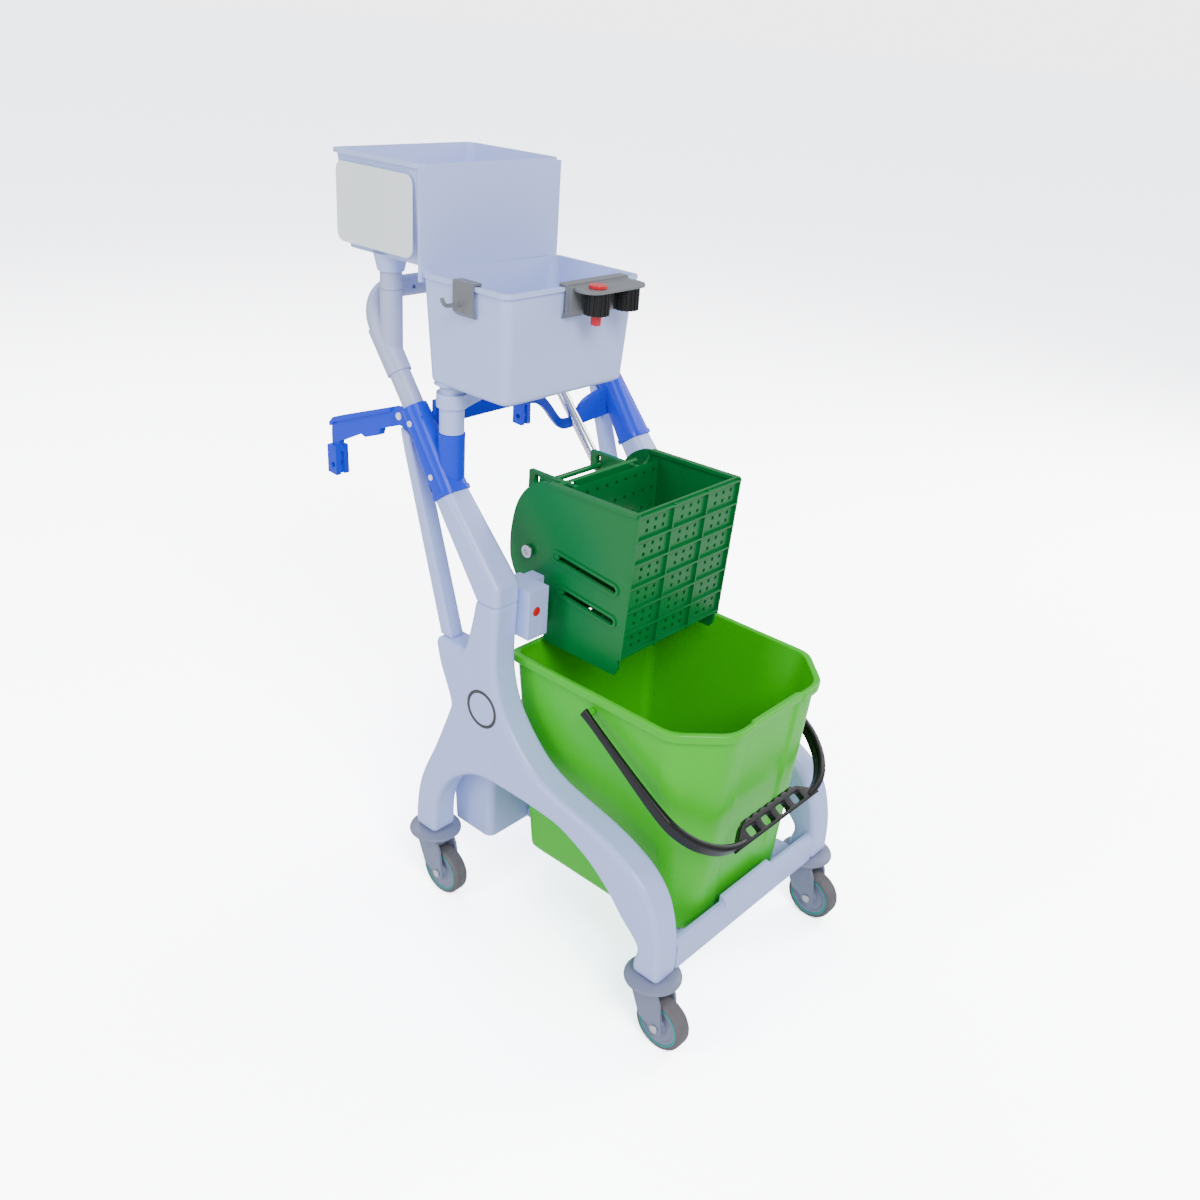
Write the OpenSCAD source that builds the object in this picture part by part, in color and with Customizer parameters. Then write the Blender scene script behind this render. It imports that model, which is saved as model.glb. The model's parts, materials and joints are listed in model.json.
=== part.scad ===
// Two-legged housekeeping mop trolley: moulded side frames on four casters,
// a lifting bucket with a bail, a press wringer, a two-tier caddy and bag arms.
// Front is -Y, left is -X, the floor is z = 0. Millimetres.

/* [Frame] */
// Width over the two moulded side frames
frame_w = 410; // [404:1:430]
// Thickness of each moulded side frame
side_w = 44; // [40:1:44]
// Distance between the front and rear caster stems
wheelbase = 428; // [416:1:440]
// Depth of each frame leg, front to back
leg_d = 43; // [40:1:46]
// Height of the leg ends above the floor
leg_z = 110; // [108:1:114]
// Height of the arch under each side frame
arch_z = 263; // [245:1:270]
// Lean of the necks and handle tubes from the vertical, degrees
lean = 37; // [36:0.5:38]

/* [Casters] */
// Diameter of the caster wheels
wheel_d = 75; // [70:1:76]
// Width of the caster tyres
wheel_w = 24; // [20:1:25]
// Distance from the swivel stem back to the wheel axle
trail = 24; // [18:1:26]
// Diameter of the round bumper above each caster
bumper_d = 78; // [66:1:80]

/* [Handle and posts] */
// Outside diameter of the handle and rear post tubes
tube_d = 28; // [25:0.5:28.5]
// Outside diameter of the front tray post
post_d = 32; // [30:0.5:33]
// Radius of the bends in the push handle
bend_r = 52; // [44:1:60]

/* [Bucket] */
// Width of the bucket over its rim
bucket_w = 312; // [300:1:314]
// Height of the bucket rim above its base
bucket_h = 327; // [300:1:328]
// Wall thickness of the bucket
bucket_t = 3; // [2.5:0.1:4]
// Length of the cut-off front corners
bucket_cut = 56; // [40:1:64]

/* [Wringer] */
// Width over the wringer side panels
wring_w = 211; // [203:1:212]
// Height of the wringer from its lower edge to its top
wring_h = 231; // [226:1:236]
// Wall thickness of the wringer
wring_t = 4; // [3:0.5:5]
// Side of the small square drain holes
hole_s = 5; // [3:0.5:6]
// Outside diameter of the lever tube
lever_d = 16; // [14:0.5:17]
// Length of the lever from its pivot to the end of its grip
lever_len = 345; // [310:1:350]

/* [Tray] */
// Width of the caddy over its rim
tray_w = 236; // [226:1:240]
// Top of the high rear box above the floor
tray_top = 1050; // [1035:1:1060]
// Rim of the low front box above the floor
tray_low = 929; // [922:1:934]
// Wall thickness of the caddy
tray_t = 3; // [2.5:0.1:3.5]

/* [Bag arms] */
// Reach of the bag arms behind their pivots
arm_len = 160; // [140:1:170]
// Slope of the resting bag arms below the horizontal, degrees
arm_slope = 21; // [15:1:24]

/* [Hidden] */
$fn = 48;
fit_c = 0.05;
gap = 0.3;
sx = frame_w / 2 - side_w / 2;
x_in = frame_w / 2 - side_w;
yf = -wheelbase / 2 + 24;
yr = wheelbase / 2 + 24;
f0 = yf - leg_d / 2;
f1 = yf + leg_d / 2;
r0 = yr - leg_d / 2;
r1 = yr + leg_d / 2;
seam_y = 121;
seam_z = 532;
seam_d = 42;
sl = sin(lean);
cl = cos(lean);
s_low = 148;
s_top = 272;
s_joint = 349;
tube_r = tube_d / 2;
post_r = post_d / 2;
post_x = 178;
post_y = 218;
joint_y = seam_y + s_joint * sl;
joint_z = seam_z + s_joint * cl;
bar_s = 434;
bar_y = seam_y + bar_s * sl;
bar_z = seam_z + bar_s * cl;
wheel_r = wheel_d / 2;
stem_r = 6;
axle_r = 4;
fork_w = wheel_w + 12;
bump_z = leg_z - 13;
base_z = 118;
bk_z0 = base_z + gap;
bk_z1 = bk_z0 + bucket_h;
bk_y0 = -214;
bk_y1 = 125;
bail_y = -25;
bail_z = bk_z1 - 27;
bail_r = 5;
wx = wring_w / 2;
wz0 = 450;
wz1 = wz0 + wring_h;
piv_y = 141;
piv_z = 573;
shaft_r = 5;
lever_x = 80;
lever_a = 48.5;
crank_l = 80;
crank_a = 22.5;
tray_x = -88;
tray_z0 = 795;
tray_y0 = 97;
tray_y1 = 250;
tray_y2 = 418;
high_z0 = 934;
tx0 = tray_x - tray_w / 2;
tx1 = tray_x + tray_w / 2;
arm_y = 303;
arm_z = 733;
arm_pin_r = 5;
// The model's origin: on the floor, under the middle of the overall box
origin_x = -9;
origin_y = 104;

// ---- helpers ----
module put() {
  translate([-origin_x, -origin_y, 0]) children();
}
function cr(a, b, c, d, t) = 0.5 * (2 * b + (c - a) * t + (2 * a - 5 * b + 4 * c - d) * t * t
  + (3 * b - a - 3 * c + d) * t * t * t);
function smooth(p, n) = [
  for (i = [0 : len(p) - 2])
    for (k = [0 : n - 1])
      cr(p[max(i - 1, 0)], p[i], p[i + 1], p[min(i + 2, len(p) - 1)], k / n),
  p[len(p) - 1]
];
function arc(cx, cy, r, a0, a1, n) = [for (i = [0 : n]) [cx + r * cos(a0 + (a1 - a0) * i / n),
  cy + r * sin(a0 + (a1 - a0) * i / n)]];
function rr(w, d, r) = concat(arc(w / 2 - r, d / 2 - r, r, 0, 90, 5), arc(r - w / 2, d / 2 - r, r, 90,
  180, 5),
  arc(r - w / 2, r - d / 2, r, 180, 270, 5), arc(w / 2 - r, r - d / 2, r, 270, 360, 5));

// A profile in the Y, Z plane, extruded from x0 to x1.
module yz(x0, x1) {
  translate([x0, 0, 0]) rotate([90, 0, 90]) linear_extrude(height = x1 - x0) children();
}
// A profile in the X, Z plane, extruded from y0 to y1.
module xz(y0, y1) {
  translate([0, y1, 0]) rotate([90, 0, 0]) linear_extrude(height = y1 - y0) children();
}
module slab(w, d, r, h) {
  linear_extrude(height = h) polygon(rr(w, d, r));
}
// A rounded box with draft, from a lower to an upper rectangle.
module draft_box(x0, x1, y0, y1, z0, u0, u1, v0, v1, z1, r) {
  hull() {
    translate([(x0 + x1) / 2, (y0 + y1) / 2, z0]) slab(x1 - x0, y1 - y0, r, 0.5);
    translate([(u0 + u1) / 2, (v0 + v1) / 2, z1 - 0.5]) slab(u1 - u0, v1 - v0, r, 0.5);
  }
}
// Local frame on the leaning axis, s millimetres above the seam centre.
module on_axis(x, s) {
  translate([x, seam_y + s * sl, seam_z + s * cl]) rotate([-lean, 0, 0]) children();
}
module bar_x(x0, x1, y, z, r) {
  translate([x0, y, z]) rotate([0, 90, 0]) cylinder(r = r, h = x1 - x0);
}

// ---- side frames ----
top_edge = smooth([[f0, leg_z], [f0 + 1, 150], [f0 + 6, 184], [f0 + 19, 222], [f0 + 44, 252], [-132, 272],
  [-98, 284], [-66, 292], [-38, 298], [-6, 306], [25, 320], [50, 341], [71, 364], [88, 390], [99, 422],
  [103, 455], [102, 500], [seam_y - seam_d / 2, seam_z]], 3);
back_edge = concat([[seam_y + seam_d / 2, seam_z], [146, 508], [153, 478], [160, 452], [164, 447],
  [194, 446.8], [217, 446.8], [218, 436], [210, 408], [200, 386], [193, 372]],
  smooth([[186, 352], [201, 313], [220, 266], [r1 - 19, 222], [r1 - 8, 192], [r1 - 2, 160], [r1, 134],
  [r1, leg_z]], 3));
arch_edge = smooth([[r0, leg_z], [r0, 140], [r0 - 2, 164], [r0 - 12, 194], [r0 - 33, 224],
  [158, arch_z - 18], [136, arch_z - 6], [105, arch_z], [60, arch_z + 1], [15, arch_z], [-20, arch_z - 3],
  [-50, arch_z - 13], [-84, arch_z - 30], [-116, arch_z - 55], [-141, arch_z - 82], [f1 - 4, 152],
  [f1, 128], [f1, leg_z]], 3);

module side_frame(m) {
  difference() {
    yz(m * sx - side_w / 2, m * sx + side_w / 2) polygon(concat(top_edge, back_edge, arch_edge));
    translate([m * sx, yf, leg_z - 1]) cylinder(r = stem_r + fit_c, h = 42);
    translate([m * sx, yr, leg_z - 1]) cylinder(r = stem_r + fit_c, h = 42);
    // shallow channel on the inner face of the rear leg and a cover recess on the outer face
    translate([m * x_in - 3, yr - 9, leg_z + 12]) cube([6, 18, 90]);
    translate([m * (sx + side_w / 2) - 1.2, 0, 0]) rotate([90, 0, 90]) linear_extrude(height = 2.4)
      polygon([[166, 448],
      [172, 436], [163, 418], [172, 398], [166, 384], [172, 380], [230, 380], [230, 448]]);
  }
}
module frame_left() { put() color([0.74, 0.76, 0.87]) side_frame(-1); }
module frame_right() { put() color([0.74, 0.76, 0.87]) side_frame(1); }

module neck(m) {
  hull() {
    translate([m * sx, seam_y, seam_z + 0.2]) slab(side_w, seam_d, 9, 26);
    on_axis(m * sx, s_low - 1) slab(side_w - 2, 35, 12, 0.8);
  }
  on_axis(m * sx, s_low - 3) cylinder(r = tube_r, h = 40);
}
module neck_left() { put() color([0.76, 0.78, 0.88]) neck(-1); }
module neck_right() { put() color([0.76, 0.78, 0.88]) neck(1); }

module front_bar() {
  put() color([0.76, 0.78, 0.88]) difference() {
    union() {
      yz(-x_in + 0.1, x_in - 0.1) polygon([[f0 + 2, leg_z + gap], [f0 + 2, 148], [f0 + 8, 155],
        [f0 + 15, 155], [f0 + 15, base_z], [-150, base_z], [-150, leg_z + gap]]);
      yz(-58, 52) polygon([[f0 + 2, 130], [f0 + 2, 158], [f0 + 8, 166], [f0 + 15, 166], [f0 + 15, 130]]);
    }
    // pockets that leave ribs in the shelf
    for (i = [-2 : 2]) translate([i * 56 - 17, f0 + 24, leg_z - 1]) cube([34, 16, 20]);
  }
}

module rear_box() {
  put() color([0.74, 0.76, 0.86]) difference() {
    union() {
      draft_box(-148, 148, 156, 236, 108, -155, 155, 150, 242, 246, 12);
      translate([-x_in + 0.1, 148, 246]) cube([2 * x_in - 0.2, 96, 5]);
    }
    draft_box(-144, 144, 160, 232, 112, -151, 151, 154, 238, 254, 9);
  }
}

module base_rails() {
  put() color([0.7, 0.72, 0.8]) for (m = [-1, 1]) yz(m * 60 - 12, m * 60 + 12)
    polygon([[-149.8, leg_z + gap], [-149.8, base_z], [138, base_z], [138, base_z + 8], [154, base_z + 8],
    [154, leg_z + gap]]);
}

// ---- connectors, brace and tubes ----
module angled_sleeve(m, e = 0) {
  hull() {
    on_axis(m * sx, s_low) slab(side_w + 2 + 2 * e, 40 + 2 * e, 14, 1);
    on_axis(m * sx, s_top - 4) cylinder(r = tube_r + 3.5 + e, h = 4);
  }
}
module connector_body(m) {
  difference() {
    union() {
      angled_sleeve(m);
      // ear that carries the bag arm pin
      yz(m * sx - 10, m * sx + 10) polygon([[arm_y - 44, 744], [arm_y - 8, 748], [arm_y + 8, 744],
        [arm_y + 11, 733],
        [arm_y + 6, 723], [arm_y - 14, 718], [arm_y - 62, 700]]);
      if (m < 0) {
        translate([-post_x, post_y, 672]) cylinder(r = post_r + 1.5, h = 59);
        hull() {
          translate([-post_x, post_y, 668]) cylinder(r = post_r, h = 4);
          on_axis(-sx, s_low + 12) cylinder(r = 14, h = 14);
        }
      }
      // lower lip
      on_axis(m * sx, s_low - 0) slab(side_w + 4, 43, 15, 6);
    }
    on_axis(m * sx, s_low - 30) cylinder(r = tube_r + 0.1, h = 220);
    bar_x(m * sx - 20, m * sx + 20, arm_y, arm_z, arm_pin_r + 0.1);
    // slot between the two ear cheeks for the arm's knuckle
    translate([m * sx - 5.3, arm_y - 14, 700]) cube([10.6, 60, 60]);
    if (m < 0) translate([-post_x, post_y, 690]) cylinder(r = tube_r - 3 + 0.1, h = 60);
    // latch windows
    for (s = [s_low + 24, s_top - 26]) on_axis(m * (sx + 18), s) translate([-6, 8, -11]) cube([12, 9, 9]);
    for (s = [s_low + 24, s_top - 26]) on_axis(m * (sx + 12), s + 5) rotate([0, m * 90, 0])
      cylinder(r = 4.2, h = 24);
  }
}
module connector_left() { put() color([0.05, 0.25, 0.85]) connector_body(-1); }
module connector_right() { put() color([0.05, 0.25, 0.85]) connector_body(1); }

brace_x = sx - 10.3;
lever_rest = piv_z + (255 - piv_y) * tan(lever_a) - lever_d / 2 / cos(lever_a) - gap;
brace_top = smooth([[-brace_x, 762], [-90, 763], [-30, 760], [8, 748], [38, 723], [60, 698],
  [lever_x - 7, lever_rest], [lever_x + 17, lever_rest], [108, 704], [128, 715], [brace_x, 722]], 3);
brace_low = smooth([[brace_x, 680], [118, 676], [94, lever_rest - 15], [70, lever_rest - 14], [52, 690],
  [28, 716], [0, 727],
  [-60, 729], [-brace_x, 728]], 3);
module cross_brace() {
  put() color([0.05, 0.25, 0.85]) difference() {
    union() {
      xz(255, 262) polygon(concat(brace_top, brace_low));
      xz(255, 268) polygon([[-brace_x, 729], [-brace_x, 735], [-20, 735], [-20, 729]]);
      xz(255, 268) polygon([[112, 680], [112, 686], [brace_x, 686], [brace_x, 680]]);
    }
    for (m = [-1, 1]) angled_sleeve(m, 0.15);
  }
}

module latch_pins() {
  put() color([0.93, 0.94, 0.96]) for (m = [-1, 1]) for (s = [s_low + 24, s_top - 26]) {
    on_axis(m * (sx + tube_r + 0.05), s + 5) rotate([0, m * 90, 0]) cylinder(r = 4, h = 9.4 - (s - s_low)
      * 0.036);
  }
}

module tubes() {
  put() color([0.75, 0.77, 0.85]) for (m = [-1, 1]) difference() {
    on_axis(m * sx, s_top - 60) cylinder(r = tube_r, h = s_joint - 14 - s_top + 60);
    on_axis(m * sx, s_top - 61) cylinder(r = tube_r - 2.5, h = s_joint - 12 - s_top + 60);
  }
}

module joint_body(m) {
  difference() {
    union() {
      on_axis(m * sx, s_joint - 30) cylinder(r = tube_r + 2.5, h = 64);
      if (m < 0) translate([-sx + 2, joint_y, joint_z]) cylinder(r = tube_r + 0.5, h = 891 - joint_z);
      on_axis(m * sx, s_joint - 4) translate([0, tube_r - 1, 0]) rotate([-90, 0, 0]) cylinder(r = 6, h = 5);
    }
    on_axis(m * sx, s_joint - 31) cylinder(r = tube_r + 0.1, h = 17.2);
    on_axis(m * sx, s_joint + 12) cylinder(r = tube_r + 0.1, h = 80);
    if (m < 0) translate([-sx + 2, joint_y, 851]) cylinder(r = tube_r - 4 + 0.1, h = 60);
    on_axis(m * sx, s_joint - 4) translate([0, tube_r - 8, 0]) rotate([-90, 0, 0]) cylinder(r = 3, h = 20);
  }
}
module joint_left() { put() color([0.72, 0.74, 0.82]) joint_body(-1); }
module joint_right() { put() color([0.72, 0.74, 0.82]) joint_body(1); }

module push_handle() {
  put() color([0.72, 0.73, 0.82]) difference() {
    union() {
      for (m = [-1, 1]) {
        on_axis(m * sx, s_joint + 13) cylinder(r = tube_r, h = bar_s - bend_r - s_joint - 13);
        // the bends swell slightly over the straight tube where they meet it
        on_axis(m * (sx - bend_r), bar_s - bend_r) rotate([90, 0, 0]) rotate([0, 0, m > 0 ? -0.4 : 89.6])
          rotate_extrude(angle = 90.8) translate([bend_r, 0]) circle(r = tube_r + 0.05);
      }
      bar_x(bend_r - sx, sx - bend_r, bar_y, bar_z, tube_r);
    }
    for (m = [-1, 1]) translate([m * 112, bar_y - 30, bar_z]) rotate([-90, 0, 0]) cylinder(r = 2.6, h = 30);
  }
}

module front_post() {
  put() color([0.78, 0.8, 0.87]) union() {
    translate([-post_x, post_y, 731.2]) cylinder(r = post_r, h = 100);
    translate([-post_x, post_y, 692]) cylinder(r = tube_r - 3, h = 42);
  }
}
module rear_post() {
  put() color([0.72, 0.73, 0.8]) union() {
    translate([-sx + 2, joint_y, 891.2]) cylinder(r = tube_r, h = 70);
    translate([-sx + 2, joint_y, 853]) cylinder(r = tube_r - 4, h = 40);
  }
}

// ---- rear struts, latch pins and wringer carriers ----
module strut(m) {
  yz(m * sx - 12, m * sx + 12) polygon([[282, 713.5], [301, 719.5], [293, 690], [217, 447], [195, 447],
    [276, 692]]);
}
module strut_left() { put() color([0.76, 0.78, 0.86]) strut(-1); }
module strut_right() { put() color([0.7, 0.72, 0.8]) strut(1); }

module carrier(m) {
  difference() {
    union() {
      translate([m > 0 ? 126 : -x_in + 0.1, 84, 478]) cube([x_in - 126.1, 54, 70]);
      translate([m > 0 ? 92 : -128, 113, 478]) cube([36, 22, 67.6]);
      translate([m > 0 ? 112 : -128, 100, 478]) cube([16, 26, 40]);
    }
    translate([m * 147, 83, 517]) rotate([-90, 0, 0]) cylinder(r = 6.5, h = 14);
    translate([m * 147 - 9, 83, 484]) cube([18, 1.8, 20]);
    translate([m * 147 - 19, 60, 460]) rotate([38, 0, 0]) cube([60, 30, 22]);
  }
}
module carrier_left() { put() color([0.78, 0.8, 0.87]) carrier(-1); }
module carrier_right() { put() color([0.78, 0.8, 0.87]) carrier(1); }

module button(m) {
  translate([m * 147, 83.2, 517]) rotate([-90, 0, 0]) cylinder(r = 6, h = 9);
}
module button_left() { put() color([0.75, 0.03, 0.12]) button(-1); }
module button_right() { put() color([0.75, 0.03, 0.12]) button(1); }

module tray_bracket() {
  put() color([0.78, 0.8, 0.85]) difference() {
    union() {
      translate([-post_x, post_y, 766]) cylinder(r = post_r + 4, h = 18);
      xz(post_y - 14, post_y + 14) polygon([[-post_x + 10, 764], [-post_x + 10, 786], [-70, 794.4],
        [-70, 788]]);
    }
    translate([-post_x, post_y, 760]) cylinder(r = post_r + 0.1, h = 40);
  }
}

module bumpers() {
  put() color([0.57, 0.59, 0.68]) for (mx = [-1, 1]) for (y = [yf, yr]) translate([mx * sx, y, bump_z])
    rotate_extrude()
    polygon([[stem_r + 0.1, 0], [16, 0], [bumper_d / 2 - 3, 2], [bumper_d / 2, 5], [bumper_d / 2 - 1, 8],
      [bumper_d / 2 - 8, 11], [22, 12.8], [stem_r + 0.1, 12.8]]);
}

// ---- casters ----
module fork(mx, y) {
  put() color([0.57, 0.59, 0.68]) translate([mx * sx, y, 0]) difference() {
    union() {
      translate([0, 0, bump_z - 15]) cylinder(r = 20, h = 14.6);
      translate([0, 0, bump_z - 2]) cylinder(r = stem_r, h = 50);
      for (k = [-1, 1]) translate([k * (fork_w / 2 - 2) - 2, 0, 0]) rotate([90, 0, 90])
        linear_extrude(height = 4) polygon(concat(arc(-trail, wheel_r, 11, 170, 355, 12),
        [[4, wheel_r + 6], [20, bump_z - 16], [20, bump_z - 3], [-20, bump_z - 3], [-28, bump_z - 20]]));
    }
    translate([-fork_w, -trail, wheel_r]) rotate([0, 90, 0]) cylinder(r = axle_r + fit_c, h = fork_w * 2);
    translate([-wheel_w / 2 - 1, -trail, wheel_r]) rotate([0, 90, 0]) cylinder(r = wheel_r + 2.5,
      h = wheel_w + 2);
  }
}
module axle(mx, y) {
  put() color([0.86, 0.86, 0.88]) translate([mx * sx, y - trail, wheel_r]) rotate([0, 90, 0]) {
    translate([0, 0, -fork_w / 2 - 0.2]) cylinder(r = axle_r, h = fork_w + 0.4);
    for (z = [-fork_w / 2 - 2.7, fork_w / 2 + 0.2]) translate([0, 0, z]) cylinder(r = 6, h = 2.5);
  }
}
module hub(mx, y) {
  put() color([0.6, 0.6, 0.66]) translate([mx * sx, y - trail, wheel_r]) rotate([0, 90, 0])
    rotate_extrude() polygon([[axle_r + fit_c, -wheel_w / 2 - 0.6], [9, -wheel_w / 2 - 0.6],
    [11, -wheel_w / 2 + 4], [24, -wheel_w / 2 + 3], [25, -wheel_w / 2 + 1], [30, -wheel_w / 2 + 1],
    [30, wheel_w / 2 - 1], [25, wheel_w / 2 - 1], [24, wheel_w / 2 - 3], [11, wheel_w / 2 - 4],
    [9, wheel_w / 2 + 0.6], [axle_r + fit_c, wheel_w / 2 + 0.6]]);
}
module tyre(mx, y) {
  put() color([0.52, 0.49, 0.5]) translate([mx * sx, y - trail, wheel_r]) rotate([0, 90, 0])
    rotate_extrude()
    polygon([[30, -wheel_w / 2 + 1], [33, -wheel_w / 2], [wheel_r - 2.5, -wheel_w / 2 + 1.5],
      [wheel_r - 0.6, -wheel_w / 2 + 4.5],
      [wheel_r, -3], [wheel_r, 3], [wheel_r - 0.6, wheel_w / 2 - 4.5], [wheel_r - 2.5, wheel_w / 2 - 1.5],
      [33, wheel_w / 2], [30, wheel_w / 2 - 1]]);
}
module fork_fl() { fork(-1, yf); }
module axle_fl() { axle(-1, yf); }
module hub_fl() { hub(-1, yf); }
module tyre_fl() { tyre(-1, yf); }
module fork_fr() { fork(1, yf); }
module axle_fr() { axle(1, yf); }
module hub_fr() { hub(1, yf); }
module tyre_fr() { tyre(1, yf); }
module fork_rl() { fork(-1, yr); }
module axle_rl() { axle(-1, yr); }
module hub_rl() { hub(-1, yr); }
module tyre_rl() { tyre(-1, yr); }
module fork_rr() { fork(1, yr); }
module axle_rr() { axle(1, yr); }
module hub_rr() { hub(1, yr); }
module tyre_rr() { tyre(1, yr); }

// ---- bucket ----
function bk(w, y0, y1, c) = [[-w / 2 + c, y0], [w / 2 - c, y0], [w / 2, y0 + c], [w / 2, y1 - 14],
  [w / 2 - 14, y1],
  [14 - w / 2, y1], [-w / 2, y1 - 14], [-w / 2, y0 + c]];
module bk_solid(i, z0, z1) {
  hull() {
    translate([0, 0, z0]) linear_extrude(height = 0.5) polygon(bk(252 - 2 * i, -184 + i, 97 - i,
      bucket_cut - 26));
    translate([0, 0, z1 - 0.5]) linear_extrude(height = 0.5)
      polygon(bk(bucket_w - 12 - 2 * i, bk_y0 + 6 + i, bk_y1 - 6 - i, bucket_cut));
  }
}
module bucket() {
  put() color([0.36, 0.76, 0.22]) difference() {
    union() {
      bk_solid(0, bk_z0, bk_z1);
      translate([0, 0, bk_z1 - 13]) linear_extrude(height = 13) polygon(bk(bucket_w, bk_y0, bk_y1,
        bucket_cut + 2));
      for (m = [-1, 1]) bar_x(m > 0 ? bucket_w / 2 - 14 : -bucket_w / 2 - 5, m > 0 ? bucket_w / 2 + 5 :
        14 - bucket_w / 2, bail_y, bail_z - 2, bail_r);
    }
    bk_solid(bucket_t, bk_z0 + bucket_t, bk_z1 + 0.01);
    translate([0, 0, bk_z1 - 3]) linear_extrude(height = 4) polygon(bk(bucket_w - 14, bk_y0 + 7,
      bk_y1 - 7, bucket_cut + 1));
    translate([0, 0, bk_z1 - 14]) linear_extrude(height = 11) difference() {
      polygon(bk(bucket_w - 3.4, bk_y0 + 1.7, bk_y1 - 1.7, bucket_cut + 2));
      polygon(bk(bucket_w - 12.4, bk_y0 + 6.2, bk_y1 - 6.2, bucket_cut));
    }
  }
}

bail_mid = 210;
bail_l = 246;
bail_drop = 33;
module bail() {
  put() color([0.13, 0.12, 0.14]) translate([0, bail_y, bail_z - 2]) rotate([bail_drop, 0, 0])
    difference() {
    union() {
      for (m = [-1, 1]) {
        hull() {
          translate([m * (bucket_w / 2 + 5.6), 0, 0]) rotate([0, 90, 0]) cylinder(r = 9, h = 5,
            center = true);
          translate([m * (bucket_w / 2 + 6.6), -110, 0]) cube([7, 8, 12], center = true);
        }
        hull() {
          translate([m * (bucket_w / 2 + 6.6), -108, 0]) cube([7, 8, 12], center = true);
          translate([m * (bucket_w / 2 + 4), -178, 0]) cube([9, 8, 16], center = true);
        }
        hull() {
          translate([m * (bucket_w / 2 + 4), -176, 0]) cube([9, 8, 16], center = true);
          translate([m * 122, -bail_l + 14, 0]) cube([10, 9, 18], center = true);
        }
        translate([0, 0, -9.5]) linear_extrude(height = 19)
          polygon([[m * 127, -bail_l + 9.5], [m * 117, -bail_l + 9.5], [m * 72, -bail_l - 5],
          [m * 72, -bail_l + 5], [m * 118, -bail_l + 18.5], [m * 127, -bail_l + 18.5]]);
      }
      translate([-74, -bail_l - 5, -10]) cube([148, 26, 20]);
      for (i = [-3 : 3]) translate([i * 16, -bail_l + 20, -10]) cylinder(r = 8, h = 20);
    }
    for (m = [-1, 1]) translate([m * (bucket_w / 2 + 5.6), 0, 0]) rotate([0, 90, 0])
      cylinder(r = bail_r + fit_c, h = 30, center = true);
    for (i = [-1.5 : 1 : 1.5]) translate([i * 34 - 11, -bail_l, -12]) cube([22, 13, 24]);
  }
}

// ---- wringer ----
panel_edge = concat([[-36, wz1 - 1.2], [-24, wz0 + 8], [-18, wz0], [104, wz0], [109, wz0 + 6], [112.4, 520],
  [112.4, 545.9], [135.6, 545.9], [135.6, 524], [160, 522]],
  smooth([[166, 528], [176, 548], [179, 570], [177, 600], [168, 634], [150, 660], [128, 674],
  [112, wz1 - 4.2]], 3));
module slot_cut(y0, z0, y1, z1, r) {
  a = atan2(z1 - z0, y1 - y0);
  polygon(concat(arc(y1, z1, r, a - 90, a + 90, 12), arc(y0, z0, r, a + 90, a + 270, 12)));
}
module side_panel(m) {
  yz(m > 0 ? wx - wring_t : -wx, m > 0 ? wx : wring_t - wx) difference() {
    polygon(panel_edge);
    slot_cut(92, 581, -8, 570, 5);
    slot_cut(80, 535, -8, 525.3, 5);
    translate([piv_y, piv_z]) circle(r = shaft_r + fit_c);
  }
}
module slot_rim(m, y0, z0, y1, z1) {
  yz(m > 0 ? wx - 0.1 : -wx - 2, m > 0 ? wx + 2 : 0.1 - wx) difference() {
    slot_cut(y0, z0, y1, z1, 9);
    slot_cut(y0, z0, y1, z1, 5);
  }
}
module wringer_body() {
  put() color([0.04, 0.49, 0.24]) difference() {
    union() {
      for (m = [-1, 1]) {
        side_panel(m);
        slot_rim(m, 92, 581, -8, 570);
        slot_rim(m, 80, 535, -8, 525.3);
        // rolled top edge
        yz(m > 0 ? wx - wring_t - 3 : -wx - 2, m > 0 ? wx + 2 : wring_t + 3 - wx) polygon([[-37, wz1],
          [-37, wz1 - 5], [112, wz1 - 8], [112, wz1 - 3]]);
      }
      // front wall with its outer ribs
      yz(0.1 - wx, wx - 0.1) polygon([[-36, wz1], [-36 + wring_t, wz1], [wring_t - 25, wz0 + 24],
        [-25, wz0 + 24]]);
      for (i = [0 : 6]) yz(0.1 - wx, wx - 0.1) translate([-40.5 + i * 1.82, wz1 - 5 - i * 33])
        square([6, 2.6]);
      for (x = [0.1 - wx, -wx / 3 - 1.3, wx / 3 - 1.3, wx - 2.7]) yz(x, x + 2.6) polygon([[-40, wz1 - 1],
        [-34, wz1 - 1],
        [-23, wz0 + 24], [-29, wz0 + 24]]);
      // floor and rear plate
      yz(0.1 - wx, wx - 0.1) polygon([[-26, wz0 + 24], [-24, wz0 + 24 + wring_t],
        [104, wz0 + 37 + wring_t], [104, wz0 + 37]]);
      yz(0.1 - wx, wx - 0.1) polygon([[103, wz0 + 37], [103, 560], [112, 592],
        [112, wz1 - 12], [116, wz1 - 10], [116, 590], [107, 559], [107, wz0 + 37]]);
    }
    // square drain holes, two rows of three in each of the 18 cells
    for (r = [0 : 5]) for (c = [0 : 2]) for (k = [0 : 5]) {
      translate([-wx + 20 + c * 70.2 + (k % 3) * 16, -46, wz1 - 17 - r * 33 - floor(k / 3) * 12])
        cube([hole_s, 26, hole_s]);
    }
    for (r = [0 : 4]) for (c = [0 : 8]) translate([-wx + 16 + c * 22, -10 + r * 22, wz0]) cube([8, 8, 40]);
    // notch for the lever and windows for the push rods
    translate([lever_x + 5, 90, wz1 - 10]) rotate([-90, 0, 0]) cylinder(r = 13, h = 40);
    for (m = [-1, 1]) translate([m * 62 - 7, 100, 630]) cube([14, 24, 38]);
  }
}

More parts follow.
